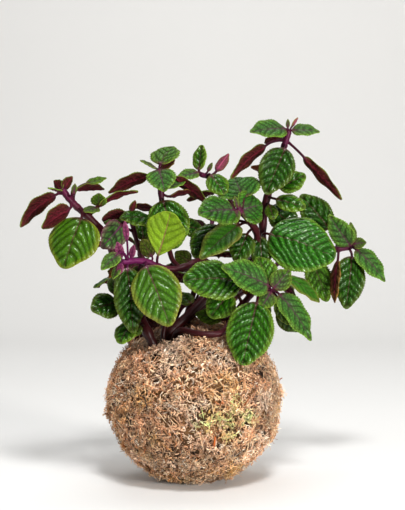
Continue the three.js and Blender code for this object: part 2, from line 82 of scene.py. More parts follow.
def tubes(rings, ends):
    # closed tubes: rings[tube, row, column] are joined row to row, and each end runs together in one point
    count, rows, columns = rings.shape[:3]
    points = np.concatenate([ends[:, :1], rings.reshape(count, -1, rings.shape[-1]), ends[:, 1:]], axis=1)
    here = 1 + np.arange(rows * columns).reshape(rows, columns)
    beside = np.roll(here, -1, axis=1)
    quads = np.stack([here[:-1], beside[:-1], beside[1:], here[1:]], -1).reshape(-1, 4)
    first = np.stack([np.zeros(columns, int), beside[0], here[0]], -1)
    last = np.stack([np.full(columns, rows * columns + 1), here[-1], beside[-1]], -1)
    shift = np.arange(count)[:, None, None] * points.shape[1]
    fans = np.concatenate([first, last])
    return points.reshape(-1, points.shape[-1]), (quads + shift).reshape(-1, 4), (fans + shift).reshape(-1, 3)


def addObject(name, data):
    made = bpy.data.objects.new(name, data)
    bpy.context.scene.collection.objects.link(made)
    return made


def carried(middle, across, over, x, y):  # points beside each middle, x along its across and y along its over
    return middle[..., None, :] + across[..., None, :] * x[..., None] + over[..., None, :] * y[..., None]


class Skin:  # gathers tubes, with their marks for the materials, until they become one piece
    def __init__(self):
        self.points, self.quads, self.fans, self.marks, self.count = [], [], [], {}, 0

    def add(self, rings, ends, marks):  # marks: name -> value for each ring point, or one for each tube
        points, quads, fans = tubes(rings, ends)
        self.points.append(points)
        self.quads.append(quads + self.count)
        self.fans.append(fans + self.count)
        self.count += len(points)
        for name, value in marks.items():
            wide = np.broadcast_to(value, rings.shape[:3] + value.shape[-1:])
            caps = np.stack([wide[:, 0].mean(1), wide[:, -1].mean(1)], 1)
            self.marks.setdefault(name, []).append(tubes(wide, caps)[0])

    def make(self, name, finish, slot, *nodes):
        mesh = bpy.data.meshes.new(name)
        points = np.concatenate(self.points) / 1000
        quads, fans = np.concatenate(self.quads), np.concatenate(self.fans)
        corners = np.concatenate([quads.ravel(), fans.ravel()]).astype(np.int32)
        starts = np.concatenate([np.arange(len(quads)) * 4, quads.size + np.arange(len(fans)) * 3])
        mesh.vertices.add(len(points))
        mesh.vertices.foreach_set("co", points.astype(np.float32).ravel())
        mesh.loops.add(len(corners))
        mesh.loops.foreach_set("vertex_index", corners)
        mesh.polygons.add(len(starts))
        mesh.polygons.foreach_set("loop_start", starts.astype(np.int32))
        mesh.polygons.foreach_set("use_smooth", np.ones(len(starts), bool))
        for mark, values in self.marks.items():
            layer = mesh.attributes.new(mark, "FLOAT_VECTOR", "POINT")
            layer.data.foreach_set("vector", np.concatenate(values).astype(np.float32).ravel())
        mesh.update(calc_edges=True)
        mesh.materials.append(finish)
        piece = addObject(name, mesh)
        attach(piece, "root")
        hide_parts(*nodes)
        print(name, 2 * len(quads) + len(fans), "triangles")


# materials: a wire is a node's output that Python's operators work on

def operator(operation, flipped=False):  # a Math node's operation as one of Python's
    def apply(self, *others):
        values = (others + (self,)) if flipped else (self, *others)
        return self.recipe.node("Math", {"operation": operation}, dict(enumerate(values)))["Value"]
    return apply


class Wire:
    def __init__(self, recipe, socket):
        self.recipe, self.socket = recipe, socket

    __add__ = __radd__ = operator("ADD")
    __sub__, __rsub__ = operator("SUBTRACT"), operator("SUBTRACT", True)
    __mul__ = __rmul__ = operator("MULTIPLY")
    __truediv__, __abs__ = operator("DIVIDE"), operator("ABSOLUTE")
    fract, floor = operator("FRACT"), operator("FLOOR")

    def ease(self, low, high):  # 0 at low, 1 at high, smooth between
        inputs = {"Value": self, "From Min": low, "From Max": high}
        return self.recipe.node("MapRange", {"interpolation_type": "SMOOTHSTEP"}, inputs)["Result"]


class Recipe:  # a material while it is put together
    def __init__(self, name, **fixed):
        self.material = bpy.data.materials.new(name)
        self.material.use_nodes = True
        self.tree = self.material.node_tree
        self.shader = self.tree.nodes["Principled BSDF"]
        for socket, value in fixed.items():
            self.shader.inputs[socket.replace("_", " ")].default_value = value

    def put(self, socket, value):
        if isinstance(value, Wire):
            self.tree.links.new(socket, value.socket)
        elif socket.type == "RGBA":
            socket.default_value = (*value, 1)
        else:
            socket.default_value = value

    def node(self, kind, settings, inputs):
        made = self.tree.nodes.new("ShaderNode" + kind)
        for name, value in settings.items():
            setattr(made, name, value)
        for name, value in inputs.items():
            named = made.inputs[name] if isinstance(name, int) else next(
                socket for socket in made.inputs if socket.name == name and socket.enabled)
            self.put(named, value)
        return {socket.name: Wire(self, socket) for socket in made.outputs if socket.enabled}

    def mark(self, name):  # one of the piece's own marks
        return self.node("Attribute", {"attribute_name": name}, {})

    def split(self, vector):
        return self.node("SeparateXYZ", {}, {"Vector": vector}).values()

    def place(self):
        return self.node("TexCoord", {}, {})["Object"]

    def noise(self, size, detail=2.0):  # size in millimetres
        inputs = {"Vector": self.place(), "Scale": 1000 / size, "Detail": detail}
        return self.node("TexNoise", {}, inputs)["Fac"]

    def mix(self, share, first, second):
        inputs = {"Factor": share, "A": first, "B": second}
        return self.node("Mix", {"data_type": "RGBA"}, inputs)["Result"]

    def scaled(self, colour, factor):  # a colour made lighter or darker
        return self.node("VectorMath", {"operation": "SCALE"}, {"Vector": colour, "Scale": factor})["Vector"]

    def bump(self, height, distance, strength=1.0):  # distance in millimetres
        inputs = {"Height": height, "Distance": distance / 1000, "Strength": strength}
        return self.node("Bump", {}, inputs)["Normal"]

    def finish(self, **links):
        for socket, value in links.items():
            self.put(self.shader.inputs[socket.replace("_", " ")], value)
        return self.material


# where things are: places are across, height and depth as seen from the front, as in the part; away from the
# crown, the plant leans back on the right and forwards on the left

sight = dict(across=6, height=185, distance=800)
lean = dict(slope=0.25, crown=(-17, 100), start=40, full=100)


def seen(across, height, depth):  # a place in the front view, moved to where it is in millimetres
    spread = 1 + depth / sight["distance"]
    x = sight["across"] + (across - sight["across"]) * spread
    return stacked(x, depth, sight["height"] + (height - sight["height"]) * spread)


def place(point):
    across, height, depth = point
    off = across - lean["crown"][0]
    away = np.hypot(off, height - lean["crown"][1])
    return seen(across, height, depth + lean["slope"] * off * ease(away, lean["start"], lean["full"]))


def numbers(text):  # groups of numbers, with commas between the groups
    return [np.array(group.split(), float) for group in text.split(",")]


def alongPath(path, shares):
    # centripetal Catmull-Rom: on each stretch a cubic through its two ends, with slopes weighted by the
    # square roots of the stretches' lengths; the ends are mirrored outwards
    points = np.array([place(point) for point in path])
    points = np.vstack([2 * points[0] - points[1], points, 2 * points[-1] - points[-2]])
    along = np.clip(shares, 0, 1) * (len(path) - 1)
    stretch = np.minimum(along.astype(int), len(path) - 2)
    w = (along - stretch)[:, None]
    a, b, c, d = (points[stretch + k] for k in range(4))
    ab, bc, cd = (np.sqrt(np.linalg.norm(q - p, axis=1))[:, None] for p, q in ((a, b), (b, c), (c, d)))
    slopeB = bc * ((b - a) / ab - (c - a) / (ab + bc) + (c - b) / bc)
    slopeC = bc * ((c - b) / bc - (d - b) / (bc + cd) + (d - c) / cd)
    square, cube = 3 * (c - b) - 2 * slopeB - slopeC, 2 * (b - c) + slopeB + slopeC
    return b + slopeB * w + square * w ** 2 + cube * w ** 3


# the finish of leaves: what changes over a blade comes from its marks

leafPaint = dict(
    veinWidth=1.05, rungWidth=0.6, net=1.9, netWidth=0.22,  # millimetres; the net is the finest veins' mesh
    ground=(0.3, 0.45, 0.15), pale=3.4, netShade=0.3,  # base, patches and grain of the green; painted light on its panels and painted shade in its net
    # rung and vein: how far painted shade darkens the rungs and the laterals; ribShare: the rib colour's
    # share in the laterals
    margin=0.36, rung=0.33, vein=0.8, ribShare=0.14, veinFlush=0.15, edge=0.75,
    dull=0.66, shine=0.46, bump=0.3)
veins = dict(rungGap=0.42, rungShift=0.618)  # rungs: their gap as a share of the laterals', and their shift


def leafFinish():
    look = leafPaint
    r = Recipe("leafBlade", Specular_IOR_Level=0.1, Specular_Tint=(0.8, 1, 0.5, 1), Coat_Roughness=0.2,
               Coat_IOR=1.5)
    lateral, offRib, along = r.split(r.mark("lay")["Vector"])
    spacing, seed, rim = r.split(r.mark("facts")["Vector"])
    gloss, flush, under = r.split(r.mark("habit")["Vector"])
    stray, pattern, net = r.split(r.mark("ways")["Vector"])
    colour, ribColour, rimColour = (r.mark(name)["Color"] for name in ("tint", "ribTint", "rimTint"))
    onBlade = along.ease(0.0, 0.02)
    away = abs(offRib)
    # laterals, the rungs between them, a tone for each cell that they enclose, and the net of fine veins
    fromVein = (0.5 - abs(lateral.fract() - 0.5)) * spacing
    rung = away / (spacing * veins["rungGap"]) + lateral.floor() * veins["rungShift"] + seed + stray
    fromRung = (0.5 - abs(rung.fract() - 0.5)) * spacing * veins["rungGap"]
    key = rung.floor() * 1.7 + lateral.floor() * 7.3 + seed * 31
    cell = r.node("TexWhiteNoise", {"noise_dimensions": "1D"}, {"W": key})["Value"]
    inputs = {"Vector": r.place(), "Scale": 1000 / look["net"]}
    mesh = r.node("TexVoronoi", {"feature": "DISTANCE_TO_EDGE"}, inputs)["Distance"]
    edge = (1 - mesh.ease(0.0, look["netWidth"])) * onBlade
    vein = (1 - fromVein.ease(0.1, look["veinWidth"])) * onBlade
    rungVein = (1 - fromRung.ease(0.05, look["rungWidth"])) * onBlade
    midrib = 1 - (away - (1 - along) * 0.5).ease(0.0, 0.35)
    patchy = r.noise(14, 3)
    fine = r.noise(2.2, 2)
    ground, patch, grain = look["ground"]
    colour = r.scaled(colour, ground + patchy * patch + fine * grain)
    # painted light makes the panels between the veins paler; then the margin; then painted shade darkens the
    # net, the rungs and the laterals, whose colour is in part the rib's
    rungs = pattern.ease(0.3, 0.7)
    pale = (fromVein / spacing).ease(0.07, 0.35) * (1 - rungs * (1 - fromRung.ease(0.1, 0.9)))
    pale = pale * (0.35 + cell * 0.4 * rungs + fine * 0.4)
    colour = r.mix(pale * pattern * onBlade, colour, r.scaled(colour, look["pale"]))
    margin = (1 - rim.ease(0.8, 5.0)) * look["margin"] * (1 - under * 0.8) * onBlade
    colour = r.mix(margin, colour, rimColour)
    colour = r.mix(edge * net, colour, r.scaled(colour, look["netShade"]))
    colour = r.mix(rungVein * rungs * look["rung"], colour, r.scaled(colour, 0.35))
    ribColourAndCreaseShade = r.mix(look["ribShare"] + under * (1 - look["ribShare"]), r.scaled(colour, 0.22), ribColour)
    colour = r.mix(vein * look["vein"] * pattern, colour, ribColourAndCreaseShade)
    # purple near the stalk, the thin bright edge and the midrib
    purple = (1 - away.ease(1.0, 8.0)) * (1 - along.ease(0.25, 1.0)) + look["veinFlush"] * vein
    colour = r.mix(flush * purple * onBlade, colour, ribColour)
    colour = r.mix((1 - (rim + fine * 0.9).ease(0.3, 1.3)) * look["edge"] * onBlade, colour, rimColour)
    colour = r.mix(midrib * 0.85 * onBlade, colour, ribColour)
    roughness = look["dull"] - gloss * look["shine"] + fine * 0.1 + vein * 0.15 + (1 - onBlade) * 0.1
    shine = r.noise(9, 1).ease(0.4, 0.62)  # the highlights gather in places
    wax = gloss * gloss * (fine * 0.15 + pale * (0.3 + shine * 0.8)) * (1 - vein * 0.8) * onBlade
    height = fromRung.ease(0.0, 1.0) * 0.4 * rungs - edge + fine * 0.3
    normal = r.bump(height, look["bump"], 0.6)
    return r.finish(Base_Color=colour, Roughness=roughness, Coat_Weight=wax, Normal=normal)


# leaves: each is one closed tube, from inside the stem along the petiole and the blade to its tip

leafLooks = {
    # colours of the top, margin, rib and underside; relief in millimetres; and what departs from leafBuild
    "mature": dict(colours="2a5e08 86a032 46322a 4a141e", relief=2.3, gloss=1, curl=1, pattern=0.6,
                   baseRound=0.45, tipRound=0.5),
    "broad": dict(colours="2f6c16 86a032 46322a 4a141e", relief=2.9, gloss=1.15, curl=1, pattern=0.56,
                  baseRound=0.45, tipRound=0.52, vein=6.5, tooth=0.02, sweep=0.5),
    "round": dict(colours="3e680a 98982c 4a3a26 6c2a2c", relief=2, gloss=0.9, curl=1, pattern=0.44, net=0.35,
                  baseRound=0.44, vein=7, tooth=0.015, sweep=0.9),
    "bright": dict(colours="406c14 a29a40 4a322c 5e1e2c", relief=1.7, gloss=0.95, curl=1, pattern=0.45,
                   net=0.45, vein=7.5, tooth=0.025, sweep=0.75),
    # dark: a darker green than mature, in part the leaves' own and in part painted shade for leaves deep
    # among the stems
    "dark": dict(colours="204a08 667426 38261c 4e1a28", relief=2.2, gloss=0.95, curl=1, pattern=0.6),
    "smooth": dict(colours="387018 8a7a3a 3c3824 6c2238", relief=0.4, gloss=0.6, pattern=0.3),
    "grey": dict(colours="3b6e27 7c9c34 442c36 5a1c30", relief=1.1, flush=0.25, pattern=0.5, net=0.8,
                 baseRound=0.45, tipRound=0.68, tooth=0.06),
    "flushed": dict(colours="2b6016 708c30 46303a 5a1c30", relief=1.4, gloss=0.6, flush=0.3, pattern=0.6,
                    net=0.75, baseRound=0.42, tipRound=0.64, tooth=0.07),
    "young": dict(colours="386418 748a2c 482a3a 4a0f1c", relief=0.9, flush=0.3, pattern=0.6, net=0.65,
                  baseRound=0.45, tipRound=0.62, tooth=0.045),
    "fresh": dict(colours="3c6a14 7a942c 3e3a24 602038", relief=1, flush=0.15, pattern=0.65, net=0.65,
                  tooth=0.07),
    "cupped": dict(colours="2e561c 6e7a30 442030 460f1c", relief=0.7),
    "folded": dict(colours="335c22 823a5c 522444 602038", relief=0.8, flush=0.2, net=0.4),
    "maroon": dict(colours="420e1c 8a6c30 6a2434 480e1a", relief=0.9),
    "dusk": dict(colours="562234 90883a 501430 7c344c", relief=0.3, pattern=0.3),
    "pink": dict(colours="74244e 965070 4c1038 7a2c58", relief=0.3, pattern=0.4),
    "lime": dict(colours="7ea220 788a24 7a5c3c 708824", relief=0.9, gloss=0.6, pattern=0.25, net=0.2,
                 baseRound=1, tipRound=0.52),
    "olive": dict(colours="405812 686424 443822 5c4e20", relief=0.5, gloss=0.5, flush=0.1),
    "copper": dict(colours="74401a 845820 4e2414 683018", relief=0.5, pattern=0.5),
}
leafBuild = dict(
    gloss=0.4, flush=0, curl=0, pattern=0.7, net=0.55,  # shine, purple, curled sides, panels and fine veins
    baseRound=0.48, tipRound=0.6, point=0.05, drawnIn=0.16,  # the outline, and how far its tip is drawn out
    petiole=0.95, flare=1.35, bend=0.45, joint=1.2,  # the petiole's radius, foot, bend and way into the blade
    smallLeaf=14, smallPetiole=0.75,
    baseThick=1.15, tipThick=0.75, ribThick=0.7, ribWidth=0.9, grooveDeep=0.9, grooveWidth=1.1,
    vein=6, slant=0.6, sweep=0.4, stray=(5, 0.5), waver=(0.18, 0.2),  # the laterals and how they wander
    toothStep=1.9, tooth=0.035, wave=0.8, curlDeep=0.09, fullRelief=34, fullWave=40,
    rowStep=0.6, columnStep=0.8)


def halfOutline(s, build):
    # the blade's half width as a share of its widest: a power of the way from the base times one of the way
    # from the tip, drawn in a little towards the tip
    atBase, atTip = build["baseRound"], build["tipRound"]
    widest = atBase / (atBase + atTip)
    peak = widest ** atBase * (1 - widest) ** atTip
    return s ** atBase * (1 - s) ** atTip / peak * (1 - build["drawnIn"] * ease(s, 0.76, 1))


def leafRelief(x, t, onBlade, length, widest, seed, build):
    # laterals leave the rib at a slant and curve towards the tip, rungs join them, the cells between them are
    # puffed up, and the rib lies in a groove. Gives the relief, the laterals counted up to each place, their
    # spacing and how the rungs stray
    v = np.abs(x)
    count = np.clip(np.round(length / build["vein"]), 4, 8)
    spacing = length / count
    flat = stacked(x, onBlade * length, 90 * seed)
    size, share = build["stray"]
    stray = share * cloud(flat, size, 31)
    sine, noise = build["waver"]
    lateral = count * (onBlade - (build["slant"] * v + build["sweep"] * v ** 2 / widest) / length) + 0.4
    waver = sine * np.sin(6 * seed + 9 * onBlade) * np.sign(x) + noise * cloud(flat, 7, 32)
    lateral = lateral + waver * ease(v, 0, 2)
    panel = 1 - np.abs(2 * (lateral - np.floor(lateral)) - 1) ** 3
    rung = v / (spacing * veins["rungGap"]) + np.floor(lateral) * veins["rungShift"] + seed + stray
    puff = 1 - np.abs(2 * (rung - np.floor(rung)) - 1) ** 2.5
    depth = build["relief"] * min(1, length / build["fullRelief"])
    cells = panel * (0.75 + 0.35 * ease(build["pattern"], 0.3, 0.7) * puff) - 0.5 + 0.2 * cloud(flat, 3, 33)
    groove = build["grooveDeep"] * np.exp(-(v / build["grooveWidth"]) ** 2) * (1 - 0.5 * onBlade)
    relief = depth * cells * (1 - np.abs(t) ** 6) - depth * groove
    atEnds = ease(onBlade * length, 0, 4) * ease((1 - onBlade) * length, 0, 3)
    return relief * atEnds, lateral, spacing, stray


def addLeaf(skin, start, leaf, kind, seed, petioleTint):
    base, tip, facing, width, arch, fold = leaf
    build = {**leafBuild, **leafLooks[kind]}
    length = np.linalg.norm(tip - base)
    widest = width * length / 2
    along = (tip - base) / length
    side = unit(np.cross(along, facing))
    up = unit(np.cross(side, along))
    # rows: the petiole is a quadratic bend that ends in line with the blade, which bows like a parabola
    reachIn = np.linalg.norm(base - start)
    tau = np.linspace(0, 1, int(np.clip(reachIn / 2, 3, 12)), endpoint=False)[:, None]
    bend = base - along * build["bend"] * reachIn
    petiole = (1 - tau) ** 2 * start + 2 * tau * (1 - tau) * bend + tau ** 2 * base
    petioleRun = 2 * (1 - tau) * (bend - start) + 2 * tau * (base - bend)
    reach = np.linspace(0, 1, int(np.clip(length / build["rowStep"], 12, 84)) + 1)
    s = (reach + (1 - np.cos(np.pi * reach)) / 2) / 2
    bow = 4 * arch * length * s * (1 - s)
    drawnOut = build["point"] * ease(s, 0.85, 1) * length
    blade = base + along * (s * length + drawnOut)[:, None] + up * bow[:, None]
    bladeRun = along + up * (4 * arch * (1 - 2 * s))[:, None]
    middle = np.vstack([petiole, blade])
    run = unit(np.vstack([petioleRun, bladeRun]))
    across = unit(side - run * (run @ side)[:, None])
    over = np.cross(across, run)
    s = np.concatenate([tau[:, 0] - 1.02, s])[:, None]  # below 0 on the petiole
    onBlade = np.maximum(s, 0)
    # columns go round the blade, over the top and back underneath; s runs along it and t across it
    half = int(np.clip(width * length / build["columnStep"], 8, 52)) // 2 * 2
    step = np.arange(2 * half)
    turn = np.pi * step / half
    line = np.where(step <= half, 2 * step / half - 1, 3 - 2 * step / half)
    t = 0.4 * -np.cos(turn) + 0.6 * line
    face = np.where(step <= half, 1, -1) * np.sqrt(np.maximum(1 - np.abs(t) ** 5, 0))
    roundness = np.where(s <= 0, 1, np.exp(-onBlade * length / build["joint"]))
    # half widths: the outline, its teeth, and the petiole's radius where the blade begins
    radius = build["petiole"] * np.where(s <= 0, blend(build["flare"], 1, ease(-s, 1, 0.7)), 1)
    if length < build["smallLeaf"]:
        radius = radius * build["smallPetiole"]
    halfWidth = widest * halfOutline(onBlade, build)
    teeth = 1 + build["tooth"] * np.cos(2 * np.pi * onBlade * length / build["toothStep"]) * np.abs(t) ** 8
    halfWidth = np.sqrt(halfWidth ** 2 + (radius * roundness) ** 2)
    x = blend(t, -np.cos(turn), roundness) * halfWidth * blend(teeth, 1, roundness)
    # heights: the faces, the rib under the blade, the relief, and sides that wave, curl down and lift
    relief, lateral, spacing, stray = leafRelief(x, t, onBlade, length, widest, seed, build)
    phase = 2 * np.pi * (2.3 * onBlade + seed) + 2 * t
    wave = build["wave"] * min(1, length / build["fullWave"]) * np.abs(t) ** 3 * np.sin(phase)
    curl = -build["curl"] * build["curlDeep"] * halfWidth * np.abs(t) ** 3
    rib = build["ribThick"] * np.exp(-(x / build["ribWidth"]) ** 2) * (1 - 0.8 * onBlade)
    thick = blend(build["baseThick"], build["tipThick"], onBlade) / 2 + np.where(face < 0, rib, 0)
    y = blend(face * thick, np.sin(turn) * radius, roundness)
    y = y + (relief + wave + curl + fold * np.abs(x)) * (1 - roundness)
    rings = carried(middle, across, over, x, y)[None]
    ends = np.stack([start - along * 0.2, rings[0, -1].mean(0)])[None]
    # marks for the finish
    under = np.broadcast_to((face < 0) & (s > 0), x.shape)
    grows = ease(onBlade * length, 0.3, 3.5)[..., None]
    tone = 0.92 + 0.16 * ((seed * 7.3) % 1)
    top, rim, rib, below = (paint(code) for code in build["colours"].split())
    beneath = under[..., None]
    marks = dict(
        lay=stacked(lateral, x, s),
        facts=stacked(spacing, seed, (1 - np.abs(t)) * halfWidth),
        habit=stacked(build["gloss"] * (1 - 0.7 * under), build["flush"] * (1 - under), under),
        ways=stacked(stray, build["pattern"], build["net"]),
        tint=blend(petioleTint, np.where(beneath, below, top) * tone, grows),
        ribTint=blend(petioleTint, np.where(beneath, below * 1.7, rib), grows),
        rimTint=np.where(beneath, blend(below, rim, 0.75), rim))
    skin.add(rings[:, :-1], ends, {name: value[None, :-1] for name, value in marks.items()})


# stems: a round-cornered square carried along the path, thicker where leaves come off

stemLook = dict(base="240502", middle="3c0e16", tip="4a1030", rowStep=1.6, columns=14, square=0.07,
                swell=0.22, swellLength=2.4, rough=0.12, roughSize=3, tipTaper=0.45, streak=3.5)


def stemFinish():
    r = Recipe("stemSkin", Specular_IOR_Level=0.18)
    colour = r.mark("tint")["Color"]
    streak = r.noise(stemLook["streak"], 3)
    colour = r.scaled(colour, 0.65 + streak * 0.7)
    return r.finish(Base_Color=colour, Roughness=0.3 + streak * 0.25, Normal=r.bump(streak, 0.4, 0.5))


def stemTint(share, tip):
    share = np.clip(share, 0, 1)[..., None]
    lower = blend(paint(stemLook["base"]), paint(stemLook["middle"]), ease(share, 0, 0.6))
    return blend(lower, paint(tip), ease(share, 0.7, 0.97))


def addStem(skin, path, radii, knots, fromShare, tip):
    look = stemLook
    length = np.linalg.norm(np.diff(alongPath(path, np.linspace(0, 1, 60)), axis=0), axis=1).sum()
    share = np.linspace(0, 1, int(length / look["rowStep"]))
    middle = alongPath(path, share)
    run = unit(np.gradient(middle, axis=0))
    axis = np.eye(3)[np.abs(run).mean(0).argmin()]
    across = unit(np.cross(run, axis))
    over = np.cross(across, run)
    radius = blend(radii[0], radii[1], share)
    bumps = np.exp(-(((share[:, None] - np.array(knots)) * length / look["swellLength"]) ** 2)).max(1)
    taper = look["tipTaper"] * ease(share * length, length - 2, length)
    radius = radius * (1 + look["swell"] * bumps) * (1 - taper)
    turn = 2 * np.pi * np.arange(look["columns"]) / look["columns"]
    profile = 1 + look["square"] * np.cos(4 * turn)
    x, y = -np.cos(turn) * profile, np.sin(turn) * profile
    rings = carried(middle, across, over, radius[:, None] * x, radius[:, None] * y)
    rough = look["rough"] * cloud(rings, look["roughSize"], 5)
    rings = rings + rough[..., None] * unit(rings - middle[:, None])
    ends = np.stack([middle[0], middle[-1] + run[-1] * radius[-1] * 0.5])[None]
    skin.add(rings[None], ends, dict(tint=stemTint(blend(fromShare, 1, share), tip)[None, :, None]))


# the shoots: radii at both ends of the stem and its path; for each leaf its kind and the share of the stem
# where its petiole starts, the blade's base, its tip, the way its face looks, and its width for length, bow
# and lift of its sides, of which the last ones are left out where they are 0
shoots = {}
shoots["shoot_left"] = dict(tipTint="541434", radii=(3.3, 1.8), path=(
    "-26 84 -20, -29 96 -25, -34 107 -24, -44 129 -16, -55 152 -8, -61 170 -6, -73 186 -8, -82 194 -9, "
    "-89 201 -10, -94 208 -10"), leaves=[
    "young .99, -95 207 -8, -100 214 -2, .3 .9 .3, .95 .1 .2",
    "young .99, -93 208 -8, -87 217 -9, -.4 .8 .4, .75 .1 .2",
    "grey .98, -95 207 -12, -104 209 -20, 0 -.3 1, .6 0 .1",
    "young .94, -99 204 -8, -123 182 -14, -.6 .6 .5, .46 .13",
    "young .9, -89 194 -14, -108 181 -26, -.2 .8 .55, .6 .06 .1",
    "round .8, -80.5 187.5 -16, -93 153 -26, -.15 -.9 .35, 1 .06 -.08",
    "cupped .84, -85 208 -8, -65 208 0, 0 .35 .95, .62 0 .3",
    "fresh .84, -77 212 6, -63 216 6, 0 -.6 .8, .6 0 .1",
    "young .96, -86 205 -16, -85 212 -18, .2 -.9 .2, .6 0 .1",
    "fresh .72, -68 196 -13, -68 205 -17, 0 -.8 .5, 1.2 0 .1",
    "young .72, -68 196 -14, -41 206 -13, -.1 .4 .9, .4 .1",
    "young .7, -69 195 -14, -78 192 -22, -.2 -.8 .6, .8",
    "copper .62, -62 171 -2, -74 165 8, -.3 .3 .9, .7 .05",
    "dark .36, -55 127 -20, -73 122 -30, -.4 -.9 .15, .98 .05",
    "dark .4, -57 133 -20, -58 145 -25, -.3 -.9 .2, .8",
    "mature .22, -45 113 -21, -53 98 -31, -.4 -.9 .1, .92 .05",
    "dark .2, -39 111 -27, -43 103 -29, 0 -1 .2, .9",
])
shoots["shoot_inner_left"] = dict(radii=(1.8, 1.4), path=(
    "-21 88 -15, -22 104 -15, -21 111 -13, -24 129 -8, -33 150 -3, -40 168 0, -44 183 1, -45 192 0"), leaves=[
    "young .99, -45 192 -1, -42 200 -4, -.3 .9 .3, .6 0 .1",
    "cupped .92, -47 186 4, -65 187 2, 0 .9 .4, .85 .05 .1",
    "dark .9, -49 184 -3, -62 182 -8, 0 -.7 .7, .75 0 .1",
    "folded .86, -52 183 -12, -66 167 -22, .5 -.85 0, .85 .05 .2",
    "dark .8, -51 181 -2, -64 184 -6, 0 -.8 .6, .7 0 .1",
    "mature .7, -36 172 8, -38 187 14, 0 -.9 .4, .8",
    "mature .6, -44 158 4, -58 146 22, -.3 .3 .9, .8 .08",
])
shoots["shoot_magenta"] = dict(tipTint="5c1646", radii=(3.5, 1.6), path=(
    "-21 88 -8, -20 102 -8, -14 109 -6, -6 116 -3, 1 123 0, 7 130 4, 13 139 7, 13 150 3, 7 157 -5, "
    "1 156 -10, -5 153 -13, -16 151 -17, -26 153 -22, -33 156 -25, -42 157 -30, -52 156 -34"), leaves=[
    "bright .88, -34 153 -32, -18 112 -48, .05 -.93 .35, .77 .08 -.05",
    "lime .8, -26 160 -24, -17 190.5 -30, -.1 -1 .15, .9 -.08 .12",
    "olive .85, -30 160 -22, -37 172 -20, -.3 -.9 .2, .8",
    # painted shade: this leaf is of the dark kind because it sits in the shade between the leaves
    "dark .96, -48 152 -32, -44 107 -33, .35 -.9 .2, .55 .06",
    "dark .9, -39 153 -25, -42 143 -24, 0 -.9 .2, .9",
    "pink .99, -52 159 -35, -55 170 -37, .3 -.9 0, .55 0 .1",
    "pink .96, -45 159 -31, -43 168 -32, -.3 -.9 0, .55 0 .1",
    "pink .97, -48 172 -30, -49.5 185 -31, 0 -.9 .4, .35",
    "pink .99, -52 155 -36, -54 147 -40, 0 -.9 .2, .6 0 .1",
    "grey .97, -54 162 -39, -66 151 -45, -.3 -.9 .3, .7 0 .1",
    "grey .99, -54 153 -36, -58 144 -42, -.2 -.9 .3, .6",
    "copper .99, -55 153 -33, -61 145 -33, -.4 -.8 .3, .5",
    "olive .68, -3 156 -4, -13 163 2, 0 -.95 .3, .9",
    "dark .32, -2 126 4, -9 134 12, 0 -.9 .4, .8",
])
shoots["shoot_upper_left"] = dict(fromShare=0.4, radii=(1.6, 1.9), path=(
    "-10 152 -15, -15 157 -13, -18 166 -10, -21 183 -4, -23 200 -2, -24 212 -2, -25 222 -2"), leaves=[
    "mature .62, -22 200 -8, -14 167 -16, .05 -.95 .3, .88 .06",
    "dark .52, -30 187 -6, -52 187 -14, 0 -.6 .8, .85 .05",
    "maroon .62, -28 194 0, -43 195 10, 0 .5 .85, .75 .05",
    "fresh .97, -24 226 -3, -16 238 15, -.2 -.75 .65, .85 .04 .06",
    "young .97, -27 223 -3, -38 228.5 -7, 0 -.5 .85, .6 0 .1",
    "maroon .97, -23 222 0, -14 229 4, 0 -.5 .85, .6 0 .1",
    "grey .97, -25 222 -6, -21 207 -18, 0 -.7 .7, 1.1 .05 .1",
    "young .9, -33 218 -3, -60 206 4, -.2 .7 .7, .44 .07",
    "young .88, -14 217 -2, 9 198 2, .3 .7 .6, .38 .05",
    "maroon .74, -17 203 -2, -2 206 4, 0 .5 .85, .6 .05",
    "grey .8, -20 209 -6, -6 214 0, -.1 -.5 .85, .6 0 .1",
    "dark .5, -9 182 4, 6 179 10, 0 -.9 .4, .85 .05",
])
shoots["shoot_right"] = dict(radii=(3.2, 1.9), path=(
    "-16 88 2, -15 102 2, -9 110 5, -1 119 9, 7 127 13, 20 139 18, 35 153 20, 49 162 20, 66 164 16, "
    "84 164 12, 99 165 9, 107 166 8, 114 168 7"), leaves=[
    "grey .98, 112 168 3, 97 189 -2, -.5 -.8 .4, .6 .05 .05",
    "young .98, 114 170 9, 112 184 14, .3 -.9 .3, .5 0 .1",
    "young .98, 114 169 2, 123 170 -4, .2 -.9 .3, .95 0 .1",
    "grey .97, 116 165 3, 136 143 -6, .35 -.75 .55, .66 .06",
    "dark .95, 113 160 3, 109 124 -5, .1 -.95 .25, .62 .05 .05",
    "maroon .88, 103 157 0, 101 128 -8, -.8 -.6 0, .36 .03 .1",
    "dark .87, 97 180 16, 77 203 23, 0 -.95 .3, .74 .05",
    "fresh .76, 84 158 10, 95 129 3, .1 -.92 .35, .64 .05",
])
